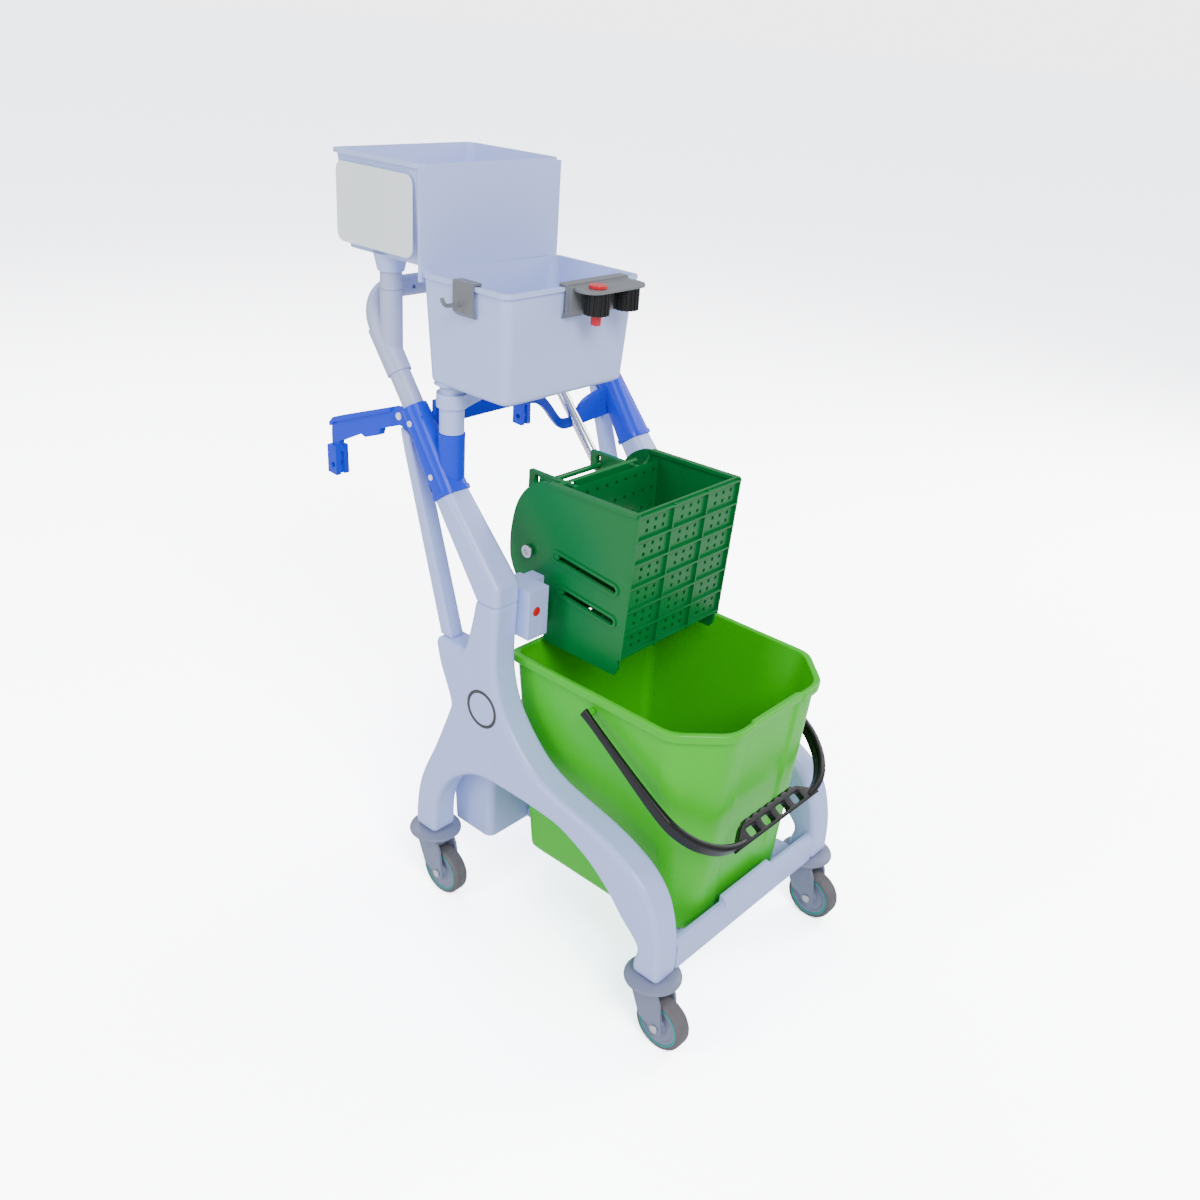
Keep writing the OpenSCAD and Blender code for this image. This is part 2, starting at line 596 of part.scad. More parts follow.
module press_plate() {
  put() color([0.06, 0.55, 0.27]) difference() {
    union() {
      yz(-wx + wring_t + 1, wx - wring_t - 1) polygon([[87, 494], [91, 494], [97, 560], [104, 600],
        [104, 664], [98, 668], [97, 662], [97, 602], [90, 562], [86, 500]]);
      for (x = [-88, -30, 28, 84]) yz(x, x + 3) polygon([[88, 497], [95, 497], [101, 560], [107, 600],
        [107, 655], [100, 655], [92, 560]]);
      // guide pins in the four slots
      for (m = [-1, 1]) {
        bar_x(m > 0 ? 80 : -wx - 1, m > 0 ? wx + 1 : -80, 92, 581, 4.6);
        bar_x(m > 0 ? 80 : -wx - 1, m > 0 ? wx + 1 : -80, 80, 535, 4.6);
        // push rods with a slotted eye for the crank's cross rod
        translate([m * 62 - 4, 99, 638]) cube([8, 88, 27]);
      }
      for (m = [-1, 1]) translate([m * 88 - 4, 76, 528]) cube([8, 20, 14]);
    }
    for (m = [-1, 1]) hull() {
      bar_x(m * 62 - 9, m * 62 + 9, piv_y + crank_l * sin(crank_a), piv_z + crank_l * cos(crank_a) - 0.3,
        4.7);
      bar_x(m * 62 - 9, m * 62 + 9, piv_y + crank_l * sin(crank_a), piv_z + crank_l + 4, 4.7);
    }
    for (r = [0 : 5]) for (c = [0 : 9]) translate([-wx + 17 + c * 19.5, 70, 652 - r * 26])
      cube([hole_s, 40, hole_s]);
  }
}

module press_crank() {
  put() color([0.7, 0.71, 0.73]) union() {
    bar_x(-wx - 3, wx + 3, piv_y, piv_z, shaft_r);
    bar_x(-74, 74, piv_y + crank_l * sin(crank_a), piv_z + crank_l * cos(crank_a), 4);
    for (x = [-74, 69]) yz(x, x + 5) slot_cut(piv_y, piv_z, piv_y + crank_l * sin(crank_a),
      piv_z + crank_l * cos(crank_a), 8);
  }
}
module lever_tube() {
  put() color([0.85, 0.86, 0.88]) translate([lever_x + 5, piv_y, piv_z]) rotate([lever_a - 90, 0, 0])
    difference() {
    union() {
      translate([0, 0, 6]) cylinder(r = lever_d / 2, h = lever_len - 16);
      rotate([0, 90, 0]) cylinder(r = 10, h = 14, center = true);
    }
    rotate([0, 90, 0]) cylinder(r = shaft_r + 0.02, h = 30, center = true);
  }
}
module lever_grip() {
  put() color([0.13, 0.12, 0.14]) translate([lever_x + 5, piv_y, piv_z]) rotate([lever_a - 90, 0, 0])
    difference() {
    union() {
      translate([0, 0, lever_len - 100]) cylinder(r = lever_d / 2 + 2.5, h = 96);
      translate([0, 0, lever_len - 4.1]) cylinder(r1 = lever_d / 2 + 2.5, r2 = lever_d / 2, h = 4.1);
    }
    translate([0, 0, lever_len - 101]) cylinder(r = lever_d / 2 + 0.05, h = 91.2);
  }
}
module pivot_caps() {
  put() color([0.8, 0.81, 0.84]) for (m = [-1, 1]) translate([m * (wx + 3.2), piv_y, piv_z])
    rotate([0, m * 90, 0]) difference() {
    cylinder(r = 9, h = 4);
    translate([0, 0, 2]) cylinder(r = 4, h = 3, $fn = 6);
  }
}

// ---- tray ----
module tray() {
  put() color([0.75, 0.77, 0.88]) difference() {
    union() {
      draft_box(tx0 + 9, tx1 - 14, tray_y0 + 6, tray_y1 - 8, tray_z0, tx0 + 3, tx1 - 3, tray_y0 + 3,
        tray_y1, tray_low, 14);
      draft_box(tx0 + 8, tx1 - 12, tray_y1 - 4, tray_y2 - 20, high_z0, tx0 + 3, tx1 - 4, tray_y1 - 4,
        tray_y2 - 3, tray_top, 14);
      translate([tray_x, (tray_y0 + tray_y1) / 2, tray_low - 5]) slab(tray_w, tray_y1 - tray_y0, 14, 5);
      translate([tray_x, (tray_y1 - 4 + tray_y2) / 2, tray_top - 5]) slab(tray_w, tray_y2 - tray_y1 + 4,
        14, 5);
      // shared wall between the two boxes, carried out to a flange at each side
      translate([tx0, tray_y1 - 4, tray_low - 12]) cube([tray_w, 4, tray_top - tray_low + 9]);
      // flared socket under the high box
      translate([-sx + 2, joint_y, 914]) cylinder(r1 = tube_r + 3, r2 = tube_r + 8, h = 22);
    }
    draft_box(tx0 + 12, tx1 - 17, tray_y0 + 9, tray_y1 - 11, tray_z0 + tray_t, tx0 + 6, tx1 - 6,
      tray_y0 + 6, tray_y1 - 4, tray_low + 1, 12);
    draft_box(tx0 + 11, tx1 - 15, tray_y1, tray_y2 - 23, high_z0 + tray_t, tx0 + 6, tx1 - 7, tray_y1,
      tray_y2 - 6, tray_top + 1, 12);
    translate([-sx + 2, joint_y, 900]) cylinder(r = tube_r + 0.08, h = 61.5);
    translate([-post_x, post_y, 780]) cylinder(r = post_r + 0.08, h = 51.5);
  }
  // blind sockets that rise inside the boxes over the two posts
  put() color([0.75, 0.77, 0.88]) difference() {
    union() {
      translate([-post_x, post_y, tray_z0 + 1]) cylinder(r = post_r + 3, h = 39);
      translate([-sx + 2, joint_y, high_z0 + 1]) cylinder(r = tube_r + 3, h = 29.5);
    }
    translate([-post_x, post_y, 780]) cylinder(r = post_r + 0.08, h = 51.5);
    translate([-sx + 2, joint_y, 900]) cylinder(r = tube_r + 0.08, h = 61.5);
    translate([-post_x - 30, post_y - 30, 780]) cube([30 - post_r - 0.6, 60, 60]);
  }
}
module tray_panel() {
  put() color([0.85, 0.87, 0.88]) translate([tx0 - 1, (tray_y1 + 8 + tray_y2 - 12) / 2, 989])
    rotate([0, 90, 0]) slab(96, tray_y2 - tray_y1 - 24, 12, 2.4);
}
// Outline of a sprung clip over the low rim, whose outer edge is at e
function clip_outline(e, leg) = [
  [e + leg, tray_low - 24], [e + leg, tray_low + 4], [e - 4, tray_low + 4], [e - 4, tray_low - 32],
  [e + 3.4, tray_low - 38], [e + 3.4, tray_low - 34], [e - 1, tray_low - 29], [e - 1, tray_low + 1],
  [e + leg - 2.6, tray_low + 1], [e + leg - 2.6, tray_low - 24]
];
module hook_clip() {
  put() color([0.5, 0.52, 0.54]) {
    xz(150, 184) polygon(clip_outline(tx0, 10.6));
    translate([tx0 - 3, 170, tray_low - 22]) rotate([0, -90, 0]) cylinder(r = 2.5, h = 19);
    translate([tx0 - 22, 170, tray_low - 12]) rotate([90, 180, 0]) rotate_extrude(angle = 90)
      translate([10, 0]) circle(r = 2.5);
  }
}
module clamp_base() {
  put() color([0.5, 0.52, 0.54]) {
    yz(-112, -2) polygon(clip_outline(tray_y0, 10));
    translate([-57, tray_y0 - 23, tray_low - 3]) slab(106, 40, 18, 4);
    for (x = [-84, -30]) translate([x, tray_y0 - 27, tray_low - 31]) cylinder(r = 4, h = 30);
    translate([-110, tray_y0 - 9, tray_low - 32]) cube([106, 6, 33]);
  }
}
module roller(x) {
  translate([x, tray_y0 - 27, tray_low - 30]) difference() {
    union() {
      cylinder(r = 14, h = 26.6);
      for (i = [0 : 15]) rotate([0, 0, i * 22.5]) translate([13, -1.2, 0]) cube([2.6, 2.4, 26.6]);
    }
    translate([0, 0, -1]) cylinder(r = 4 + fit_c, h = 30);
  }
}
module roller_a() { put() color([0.14, 0.13, 0.15]) roller(-84); }
module roller_b() { put() color([0.14, 0.13, 0.15]) roller(-30); }
module clamp_knob() {
  put() color([0.9, 0.1, 0.14]) {
    translate([-84, tray_y0 - 27, tray_low + 1.2]) cylinder(r = 11, h = 4);
    translate([-88, tray_y0 - 32, tray_low - 43]) cube([8, 10, 11.8]);
  }
}

// ---- bag arms ----
module arm(m) {
  translate([m * sx, arm_y, arm_z]) rotate([-arm_slope, 0, 0]) difference() {
    union() {
      yz(-5, 5) polygon([[-6.2, -7], [-6.2, 7], [6, 12], [arm_len - 8, 13], [arm_len, 8], [arm_len + 6, -4],
        [arm_len + 26, -58],
        [arm_len + 14, -64], [arm_len - 4, -20], [100, -14], [92, -20], [60, -20], [54, -12], [6, -12]]);
      yz(-9, 9) polygon([[18, 8], [18, 13], [arm_len - 10, 15], [arm_len + 2, 9], [arm_len + 2, 4],
        [arm_len - 12, 8]]);
      yz(-11, 11) polygon([[arm_len - 2, -26], [arm_len + 16, -20], [arm_len + 30, -58],
        [arm_len + 12, -66]]);
    }
    rotate([0, 90, 0]) cylinder(r = arm_pin_r + fit_c, h = 40, center = true);
    // mouth of the clip
    translate([-3, 0, 0]) rotate([90, 0, 90]) linear_extrude(height = 6) polygon([[arm_len - 6, -36],
      [arm_len + 6, -34],
      [arm_len + 18, -70], [arm_len + 2, -76]]);
    translate([-12, arm_len + 14, -50]) rotate([0, 90, 0]) cylinder(r = 4, h = 24);
  }
}
module arm_left() { put() color([0.06, 0.27, 0.86]) arm(-1); }
module arm_right() { put() color([0.06, 0.27, 0.86]) arm(1); }
module arm_pins() {
  put() color([0.9, 0.91, 0.93]) for (m = [-1, 1]) bar_x(m * sx - 12, m * sx + 12, arm_y, arm_z, arm_pin_r);
}

frame_left();
frame_right();
neck_left();
neck_right();
front_bar();
rear_box();
base_rails();
connector_left();
connector_right();
cross_brace();
tubes();
joint_left();
joint_right();
push_handle();
front_post();
rear_post();
strut_left();
strut_right();
latch_pins();
carrier_left();
carrier_right();
tray_bracket();
bumpers();
fork_fl();
axle_fl();
hub_fl();
tyre_fl();
fork_fr();
axle_fr();
hub_fr();
tyre_fr();
fork_rl();
axle_rl();
hub_rl();
tyre_rl();
fork_rr();
axle_rr();
hub_rr();
tyre_rr();
bucket();
bail();
wringer_body();
press_plate();
press_crank();
lever_tube();
lever_grip();
pivot_caps();
button_left();
button_right();
tray();
tray_panel();
hook_clip();
clamp_base();
roller_a();
roller_b();
clamp_knob();
arm_left();
arm_right();
arm_pins();
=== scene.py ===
"""Housekeeping cart: its mouldings, bucket, wringer, caddy, casters and the stage.

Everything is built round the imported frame.
"""

import json
import math

import bmesh
import bpy
from mathutils import Matrix, Vector
from mathutils.geometry import delaunay_2d_cdt
from mathutils.kdtree import KDTree

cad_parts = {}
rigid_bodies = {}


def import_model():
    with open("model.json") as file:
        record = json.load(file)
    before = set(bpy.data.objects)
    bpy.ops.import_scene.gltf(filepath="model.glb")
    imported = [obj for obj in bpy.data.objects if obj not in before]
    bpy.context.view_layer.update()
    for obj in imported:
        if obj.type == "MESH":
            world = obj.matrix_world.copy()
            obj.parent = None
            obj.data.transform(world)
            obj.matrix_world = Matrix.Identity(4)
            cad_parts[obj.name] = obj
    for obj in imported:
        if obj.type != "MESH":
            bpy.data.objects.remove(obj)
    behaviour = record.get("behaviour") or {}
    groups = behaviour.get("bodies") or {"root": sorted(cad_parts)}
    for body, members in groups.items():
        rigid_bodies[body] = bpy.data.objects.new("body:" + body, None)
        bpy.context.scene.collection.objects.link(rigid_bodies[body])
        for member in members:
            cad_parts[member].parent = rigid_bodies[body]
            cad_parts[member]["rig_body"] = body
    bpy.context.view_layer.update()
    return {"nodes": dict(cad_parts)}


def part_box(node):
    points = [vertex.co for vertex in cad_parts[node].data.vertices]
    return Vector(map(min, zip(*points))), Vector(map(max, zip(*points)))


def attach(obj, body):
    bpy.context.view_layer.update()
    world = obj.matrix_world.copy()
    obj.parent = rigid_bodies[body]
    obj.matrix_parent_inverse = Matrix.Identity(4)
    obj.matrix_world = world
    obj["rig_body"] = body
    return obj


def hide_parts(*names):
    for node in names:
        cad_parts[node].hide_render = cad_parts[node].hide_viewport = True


bl_info = {
    "name": "Housekeeping cart",
    "version": (1, 0, 0),
    "blender": (4, 5, 0),
    "location": "View3D > Sidebar > Cart",
    "description": "Builds the looks of a two-tier mop cart round its fixed frame",
    "category": "Object",
}

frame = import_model()

MM = 0.001
MIDDLE_X = 9 * MM  # the side frames' plane of symmetry
AXLE_MID_Y = -104 * MM  # halfway between the front and rear axles
CORNERS = ("fl", "fr", "rl", "rr")
WELD = 0.002 * MM  # points closer than this are one point
FLAT_DEG = 0.4  # faces that meet at less than this are one face
SHARP_DEG = 26.0  # an edge that turns further than this is rounded
CREASE_DEG = 38.0  # an edge that turns further than this is shaded as a crease


# ---- shader expressions ----
class Term:
    """A shader value that takes part in sums and products."""

    def __init__(self, shader, socket):
        self.shader = shader
        self.socket = socket

    def _math(self, operation, first, second):
        return self.shader.node(
            "ShaderNodeMath", {"operation": operation}, {0: first, 1: second}
        )

    def __add__(self, other):
        return self._math("ADD", self, other)

    __radd__ = __add__

    def __sub__(self, other):
        return self._math("SUBTRACT", self, other)

    def __rsub__(self, other):
        return self._math("SUBTRACT", other, self)

    def __mul__(self, other):
        return self._math("MULTIPLY", self, other)

    __rmul__ = __mul__


class Shader:
    """The node tree of a material or of the world."""

    def __init__(self, owner, surface="Principled BSDF"):
        owner.use_nodes = True
        self.owner = owner
        self.tree = owner.node_tree
        self.surface = self.tree.nodes[surface]

    def node(self, kind, settings=None, inputs=None, output=0):
        made = self.tree.nodes.new(kind)
        for key, value in (settings or {}).items():
            if key == "stops":
                ramp = made.color_ramp
                for stop, (place, colour) in zip(ramp.elements, value):
                    stop.position = place
                    stop.color = colour
            else:
                setattr(made, key, value)
        for key, value in (inputs or {}).items():
            if isinstance(value, Term):
                self.tree.links.new(value.socket, made.inputs[key])
            else:
                made.inputs[key].default_value = value
        return Term(self, made.outputs[output])

    def place(self):
        """Position on the object, in metres."""
        return self.node("ShaderNodeTexCoord", output="Object")

    def noise(self, scale, detail=2.0, where=None, rough=0.5):
        where = where or self.place()
        return self.node(
            "ShaderNodeTexNoise",
            inputs={"Vector": where, "Scale": scale, "Detail": detail, "Roughness": rough},
            output="Fac",
        )

    def mix(self, factor, first, second):
        return self.node(
            "ShaderNodeMix",
            {"data_type": "RGBA", "blend_type": "MIX"},
            {0: factor, 6: first, 7: second},
            output=2,
        )

    def ramp(self, value, *stops):
        return self.node(
            "ShaderNodeValToRGB",
            {"stops": [(at, (level, level, level, 1)) for at, level in stops]},
            {"Fac": value},
        )

    def bump(self, height, strength, distance, under=None):
        inputs = {"Height": height, "Strength": strength, "Distance": distance}
        if under:
            inputs["Normal"] = under
        return self.node("ShaderNodeBump", inputs=inputs)

    def set(self, **sockets):
        for name, value in sockets.items():
            socket = self.surface.inputs[name.replace("_", " ")]
            if isinstance(value, Term):
                self.tree.links.new(value.socket, socket)
            else:
                socket.default_value = value

    def brighter_in_view(self, bright, ending):
        """Shows the bright shader to the camera's own rays, and the plain one to all others."""
        seen = self.node("ShaderNodeLightPath", output="Is Camera Ray")
        plain = Term(self, self.surface.outputs[0])
        shown = self.node("ShaderNodeMixShader", inputs={0: seen, 1: plain, 2: bright})
        self.tree.links.new(shown.socket, self.tree.nodes[ending].inputs["Surface"])


def shade(colour, factor):
    """The same hue, darker or lighter."""
    return tuple(min(1.0, c * factor) for c in colour[:3]) + (1.0,)


def scuffs(shader, scale=55.0, density=0.62):
    """Fine handling marks: thin, long and sparse."""
    soft_end = 0.12
    stretched = shader.node(
        "ShaderNodeMapping", inputs={"Vector": shader.place(), "Scale": (1.0, 0.35, 2.2)}
    )
    return shader.ramp(
        shader.noise(scale, 6.0, stretched, 0.7), (density, 0.0), (density + soft_end, 1.0)
    )


def moulded(name, colour, rough, grain=0.05, mottle=0.05, coat=0.0, wear=0.12, specular=0.5):
    """Injection-moulded plastic: a soft tone drift, a spark-eroded grain and light scuffing."""
    s = Shader(bpy.data.materials.new(name))
    drift = s.noise(7.0, 3.0)
    base = s.mix(drift, shade(colour, 1 - mottle), shade(colour, 1 + mottle))
    marks = scuffs(s)
    base = s.mix(marks * wear, base, shade(colour, 1.35))
    fine = s.noise(1400.0, 3.0)
    flow = s.noise(45.0, 4.0)
    s.set(
        Base_Color=base,
        Roughness=rough - 0.06 + 0.12 * flow + 0.12 * marks,
        Normal=s.bump(flow, 0.25, 0.0004, s.bump(fine, grain * 4, 0.00006)),
        Specular_IOR_Level=specular,
        Coat_Weight=coat,
        Coat_Roughness=0.12,
    )
    return s.owner


def thin_wall(name, colour, scuff_and_glow):
    """A thin, bright, fairly glossy moulded wall with paler streaks: partly scuffs, partly a
    painted glow of light through the thin wall.
    """
    s = Shader(bpy.data.materials.new(name))
    drift = s.noise(5.0, 3.0)
    base = s.mix(drift, shade(colour, 0.95), shade(colour, 1.06))
    marks = scuffs(s, 38.0, 0.64)
    # paler streaks: scuff marks that also carry a painted glow, as if light came through the
    # wall
    base = s.mix(marks * 0.2, base, shade(scuff_and_glow, 1.0))
    flow = s.noise(28.0, 3.0)
    s.set(
        Base_Color=base,
        Roughness=0.27 + 0.1 * flow + 0.12 * marks,
        Normal=s.bump(flow, 0.3, 0.0006, s.bump(s.noise(1100.0), 0.12, 0.00005)),
        Specular_IOR_Level=0.3,
    )
    return s.owner


def rubber(name, colour, rough):
    """Dull rubber with darker, dirty patches."""
    s = Shader(bpy.data.materials.new(name))
    dirt = s.ramp(s.noise(60.0, 5.0), (0.42, 0.0), (0.7, 1.0))
    base = s.mix(dirt * 0.45, shade(colour, 1.05), shade(colour, 0.72))
    s.set(
        Base_Color=base,
        Roughness=rough + 0.1 * dirt,
        Normal=s.bump(s.noise(900.0, 3.0), 0.3, 0.0001),
        Specular_IOR_Level=0.35,
    )
    return s.owner


def metal(name, colour, rough, brushed):
    """Plated or turned steel with faint drawing lines."""
    s = Shader(bpy.data.materials.new(name))
    lines = s.node(
        "ShaderNodeMapping", inputs={"Vector": s.place(), "Scale": (8.0, 60.0, 60.0)}
    )
    streak = s.noise(40.0, 3.0, lines)
    s.set(
        Base_Color=s.mix(streak, shade(colour, 0.94), shade(colour, 1.04)),
        Metallic=1.0,
        Roughness=rough + brushed * streak,
        Normal=s.bump(streak, 0.12, 0.00005),
    )
    return s.owner


# ---- mesh helpers ----
def finish_mesh(mesh, crease_deg):
    """Smooth shading with creases only where faces meet sharply."""
    bm = bmesh.new()
    bm.from_mesh(mesh)
    limit = math.radians(crease_deg)
    for face in bm.faces:
        face.smooth = True
    for edge in bm.edges:
        edge.smooth = len(edge.link_faces) == 2 and edge.calc_face_angle(0.0) < limit
    bm.to_mesh(mesh)
    bm.free()


def piece(name, bm, material, body, nodes, crease_deg=CREASE_DEG):
    """Turns a bmesh into a finished piece that rides on its body."""
    mesh = bpy.data.meshes.new(name)
    bm.to_mesh(mesh)
    bm.free()
    finish_mesh(mesh, crease_deg)
    made = bpy.data.objects.new(name, mesh)
    bpy.context.scene.collection.objects.link(made)
    made.data.materials.append(material)
    weighted = made.modifiers.new("even_shading", "WEIGHTED_NORMAL")
    weighted.keep_sharp = True
    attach(made, body)
    if nodes:
        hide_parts(*nodes)


def welded(node):
    """The node's solid as a closed mesh whose flat faces are whole again."""
    bm = bmesh.new()
    bm.from_mesh(frame["nodes"][node].data)
    bmesh.ops.remove_doubles(bm, verts=bm.verts, dist=WELD)
    bmesh.ops.dissolve_limit(
        bm, angle_limit=math.radians(FLAT_DEG), verts=bm.verts, edges=bm.edges
    )
    return bm


def rounded(bm, width, steps, test=None):
    """Rounds the sharp edges whose middles pass the test."""
    limit = math.radians(SHARP_DEG)
    edges = [
        e
        for e in bm.edges
        if len(e.link_faces) == 2
        and e.calc_face_angle(0.0) > limit
        and (test is None or test((e.verts[0].co + e.verts[1].co) / 2))
    ]
    if edges:
        bmesh.ops.bevel(
            bm, geom=edges, offset=width, offset_type="OFFSET", segments=steps,
            profile=0.5, affect="EDGES", clamp_overlap=True, loop_slide=True,
        )


def softened(node, material, width, steps=3, first=(), crease_deg=CREASE_DEG):
    """A node's own shape with its moulded edges rounded.

    first holds wider roundings, each with the test that picks its edges.
    """
    bm = welded(node)
    for wide, test in first:
        rounded(bm, wide, 4, test)
    rounded(bm, width, steps)
    body = frame["nodes"][node]["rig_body"]
    piece(node + "_moulding", bm, material, body, [node], crease_deg)


def flat_outline(node, side):
    """The longest outline of the node's flat face that looks along X, as (y, z) points."""
    bm = bmesh.new()
    bm.from_mesh(frame["nodes"][node].data)
    bmesh.ops.remove_doubles(bm, verts=bm.verts, dist=WELD)
    lo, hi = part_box(node)
    level = hi.x if side > 0 else lo.x
    flat = {
        f
        for f in bm.faces
        if f.normal.x * side > 0.999 and abs(f.calc_center_median().x - level) < 10 * WELD
    }
    border = [e for e in bm.edges if sum(f in flat for f in e.link_faces) == 1]
    steps = {}
    for e in border:
        for a, b in (tuple(e.verts), tuple(e.verts)[::-1]):
            steps.setdefault(a, []).append(b)
    loops, seen = [], set()
    for start in steps:
        if start in seen:
            continue
        loop, here, before = [start], steps[start][0], start
        seen.add(start)
        while here != start and here not in seen:
            loop.append(here)
            seen.add(here)
            onward = [v for v in steps[here] if v != before]
            before, here = here, onward[0]
        loops.append([(v.co.y, v.co.z) for v in loop])
    bm.free()
    return max(loops, key=length_of)


def length_of(loop):
    return sum(math.dist(a, b) for a, b in zip(loop, loop[1:] + loop[:1]))


def resampled(loop, step):
    """The same outline with evenly spaced points."""
    total = length_of(loop)
    count = max(8, round(total / step))
    closed = loop + loop[:1]
    out, at, walked = [], 0, 0.0
    seg = math.dist(closed[0], closed[1])
    for i in range(count):
        target = total * i / count
        while walked + seg < target:
            walked += seg
            at += 1
            seg = math.dist(closed[at], closed[at + 1])
        t = (target - walked) / seg if seg else 0.0
        a, b = closed[at], closed[at + 1]
        out.append((a[0] + (b[0] - a[0]) * t, a[1] + (b[1] - a[1]) * t))
    return out


def relaxed(loop, rounds):
    """Softens the outline's corners."""
    for _ in range(rounds):
        n = len(loop)
        loop = [
            tuple(
                0.25 * loop[i - 1][k] + 0.5 * loop[i][k] + 0.25 * loop[(i + 1) % n][k]
                for k in (0, 1)
            )
            for i in range(n)
        ]
    return loop


def crowned_face(bm, outline, level, side, edge):
    """One flat face of a plate whose border rolls over by a quarter round.

    Returns its outline's vertices.
    """
    steps, marks = 7, 6  # rows of points in the round, and measuring marks on each stretch
    n = len(outline)
    near = KDTree(n * marks)
    for i, (a, b) in enumerate(zip(outline, outline[1:] + outline[:1])):
        for k in range(marks):
            t = k / marks
            mark = (a[0] + (b[0] - a[0]) * t, a[1] + (b[1] - a[1]) * t, 0)
            near.insert(mark, i * marks + k)
    near.balance()
    area = sum(
        outline[i - 1][0] * outline[i][1] - outline[i][0] * outline[i - 1][1]
        for i in range(n)
    )
    turn = 1 if area > 0 else -1
    points = [Vector(p) for p in outline]
    for k in range(1, steps + 1):
        into = edge * (1 - math.cos(math.pi / 2 * k / steps))
        for i, p in enumerate(outline):
            along = (Vector(outline[(i + 1) % n]) - Vector(outline[i - 1])).normalized()
            q = Vector(p) + turn * into * Vector((-along.y, along.x))
            if near.find((q.x, q.y, 0))[2] > into * 0.96 - 0.02 * MM:
                points.append(q)
    flat, _, faces, origin, _, _ = delaunay_2d_cdt(
        points, [(i, (i + 1) % n) for i in range(n)], [], 1, 1e-7
    )
    verts, rim = [], [None] * n
    for p, sources in zip(flat, origin):
        border = [i for i in sources if i < n]
        deep = 0.0 if border else min(edge, near.find((p.x, p.y, 0))[2])
        back = edge - math.sqrt(edge * edge - (edge - deep) ** 2)
        verts.append(bm.verts.new((level - side * back, p.x, p.y)))
        for i in border:
            rim[i] = verts[-1]
    for face in faces:
        bm.faces.new([verts[i] for i in face])
    return rim


def bridge(bm, rings):
    """Faces between closed rings of equal count."""
    for low, high in zip(rings, rings[1:]):
        n = len(low)
        for i in range(n):
            j = (i + 1) % n
            quad = [low[i], low[j], high[j], high[i]]
            if len(set(quad)) == 4:
                bm.faces.new(quad)


def lathe(bm, profile, centre, turns):
    """Turns (x, radius) points about the line along X through the centre."""
    rings = []
    for along, radius in profile:
        ring = []
        for k in range(turns):
            a = 2 * math.pi * k / turns
            offset = Vector((along, radius * math.cos(a), radius * math.sin(a)))
            ring.append(bm.verts.new(Vector(centre) + offset))
        rings.append(ring)
    bridge(bm, rings + rings[:1])
    bmesh.ops.recalc_face_normals(bm, faces=bm.faces)


def mirrored(profile):
    """Half a wheel's profile, then its reflection, as one run of points."""
    return profile + [(-x, r) for x, r in profile[::-1]]


def sweep(bm, path, sections):
    """Carries sections of (u, v) points along a path, given with its own frames."""
    rings = []
    for (centre, side, up), section in zip(path, sections):
        rings.append([bm.verts.new(centre + side * u + up * v) for u, v in section])
    bridge(bm, rings)
    bm.faces.new(rings[0])
    bm.faces.new(rings[-1])
    bmesh.ops.recalc_face_normals(bm, faces=bm.faces)


def pill(width, height, radius, steps=4):
    """A rounded rectangle as (u, v) points."""
    radius = min(radius, width / 2 * 0.999, height / 2 * 0.999)
    points = []
    for sx, sy, start in ((1, 1, 0), (-1, 1, 90), (-1, -1, 180), (1, -1, 270)):
        for k in range(steps + 1):
            a = math.radians(start + 90 * k / steps)
            points.append(
                (sx * (width / 2 - radius) + radius * math.cos(a),
                 sy * (height / 2 - radius) + radius * math.sin(a))
            )
    return points


def smooth_path(points, each):
    """A Catmull-Rom line through the points."""
    out, last = [], len(points) - 1
    for i in range(last):
        p = [points[max(i - 1, 0)], points[i], points[i + 1], points[min(i + 2, last)]]
        for k in range(each):
            t = k / each
            out.append(
                0.5
                * (2 * p[1] + (p[2] - p[0]) * t
                   + (2 * p[0] - 5 * p[1] + 4 * p[2] - p[3]) * t * t
                   + (3 * p[1] - p[0] - 3 * p[2] + p[3]) * t ** 3)
            )
    out.append(points[-1])
    return out


# ---- what a user would change ----
def colour(label, words, default):
    return bpy.props.FloatVectorProperty(
        name=label, description=words, default=default, size=3, min=0.0, max=1.0,
        subtype="COLOR",
    )


def length(label, words, default):
    return bpy.props.FloatProperty(
        name=label, description=words, default=default, unit="LENGTH"
    )


class CartColours(bpy.types.PropertyGroup):
    """Colours of the cart's mouldings."""

    frame: colour("Frame", "Side frames, caddy and struts", (0.44, 0.53, 0.93))
    caddy: colour("Caddy", "Two-tier caddy", (0.47, 0.56, 0.93))
    handle: colour("Handle", "Push handle and tubes", (0.42, 0.465, 0.70))
    blue: colour("Connectors", "Connectors, brace and bag arms", (0.001, 0.034, 0.72))
    bucket: colour("Bucket", "Bucket wall", (0.040, 0.50, 0.010))
    wringer: colour("Wringer", "Wringer and press plate", (0.0006, 0.15, 0.030))
    caster: colour("Casters", "Forks, bumpers and hubs", (0.185, 0.21, 0.32))
    tyre: colour("Tyres", "Wheel rubber", (0.115, 0.108, 0.12))
    ring: colour("Wheel ring", "Band between tyre and hub", (0.004, 0.24, 0.22))
    black: colour("Black", "Bail, grip and rollers", (0.006, 0.0055, 0.007))
    red: colour("Red", "Push buttons and clamp knob", (0.60, 0.003, 0.01))
    clip: colour("Clips", "Hook and tool clamp", (0.16, 0.17, 0.185))


class CartSizes(bpy.types.PropertyGroup):
    """Roundings and thicknesses of the moulded pieces."""

    frame_edge: length("Frame edge", "Rounding of the side frames", 9 * MM)
    small_edge: length("Small edge", "Rounding of the small mouldings", 1.2 * MM)
    rim_edge: length("Rim edge", "Rounding of the bucket's rim", 3 * MM)
    badge: length("Badge", "Diameter of the plain badge", 56 * MM)


_finishes = {}


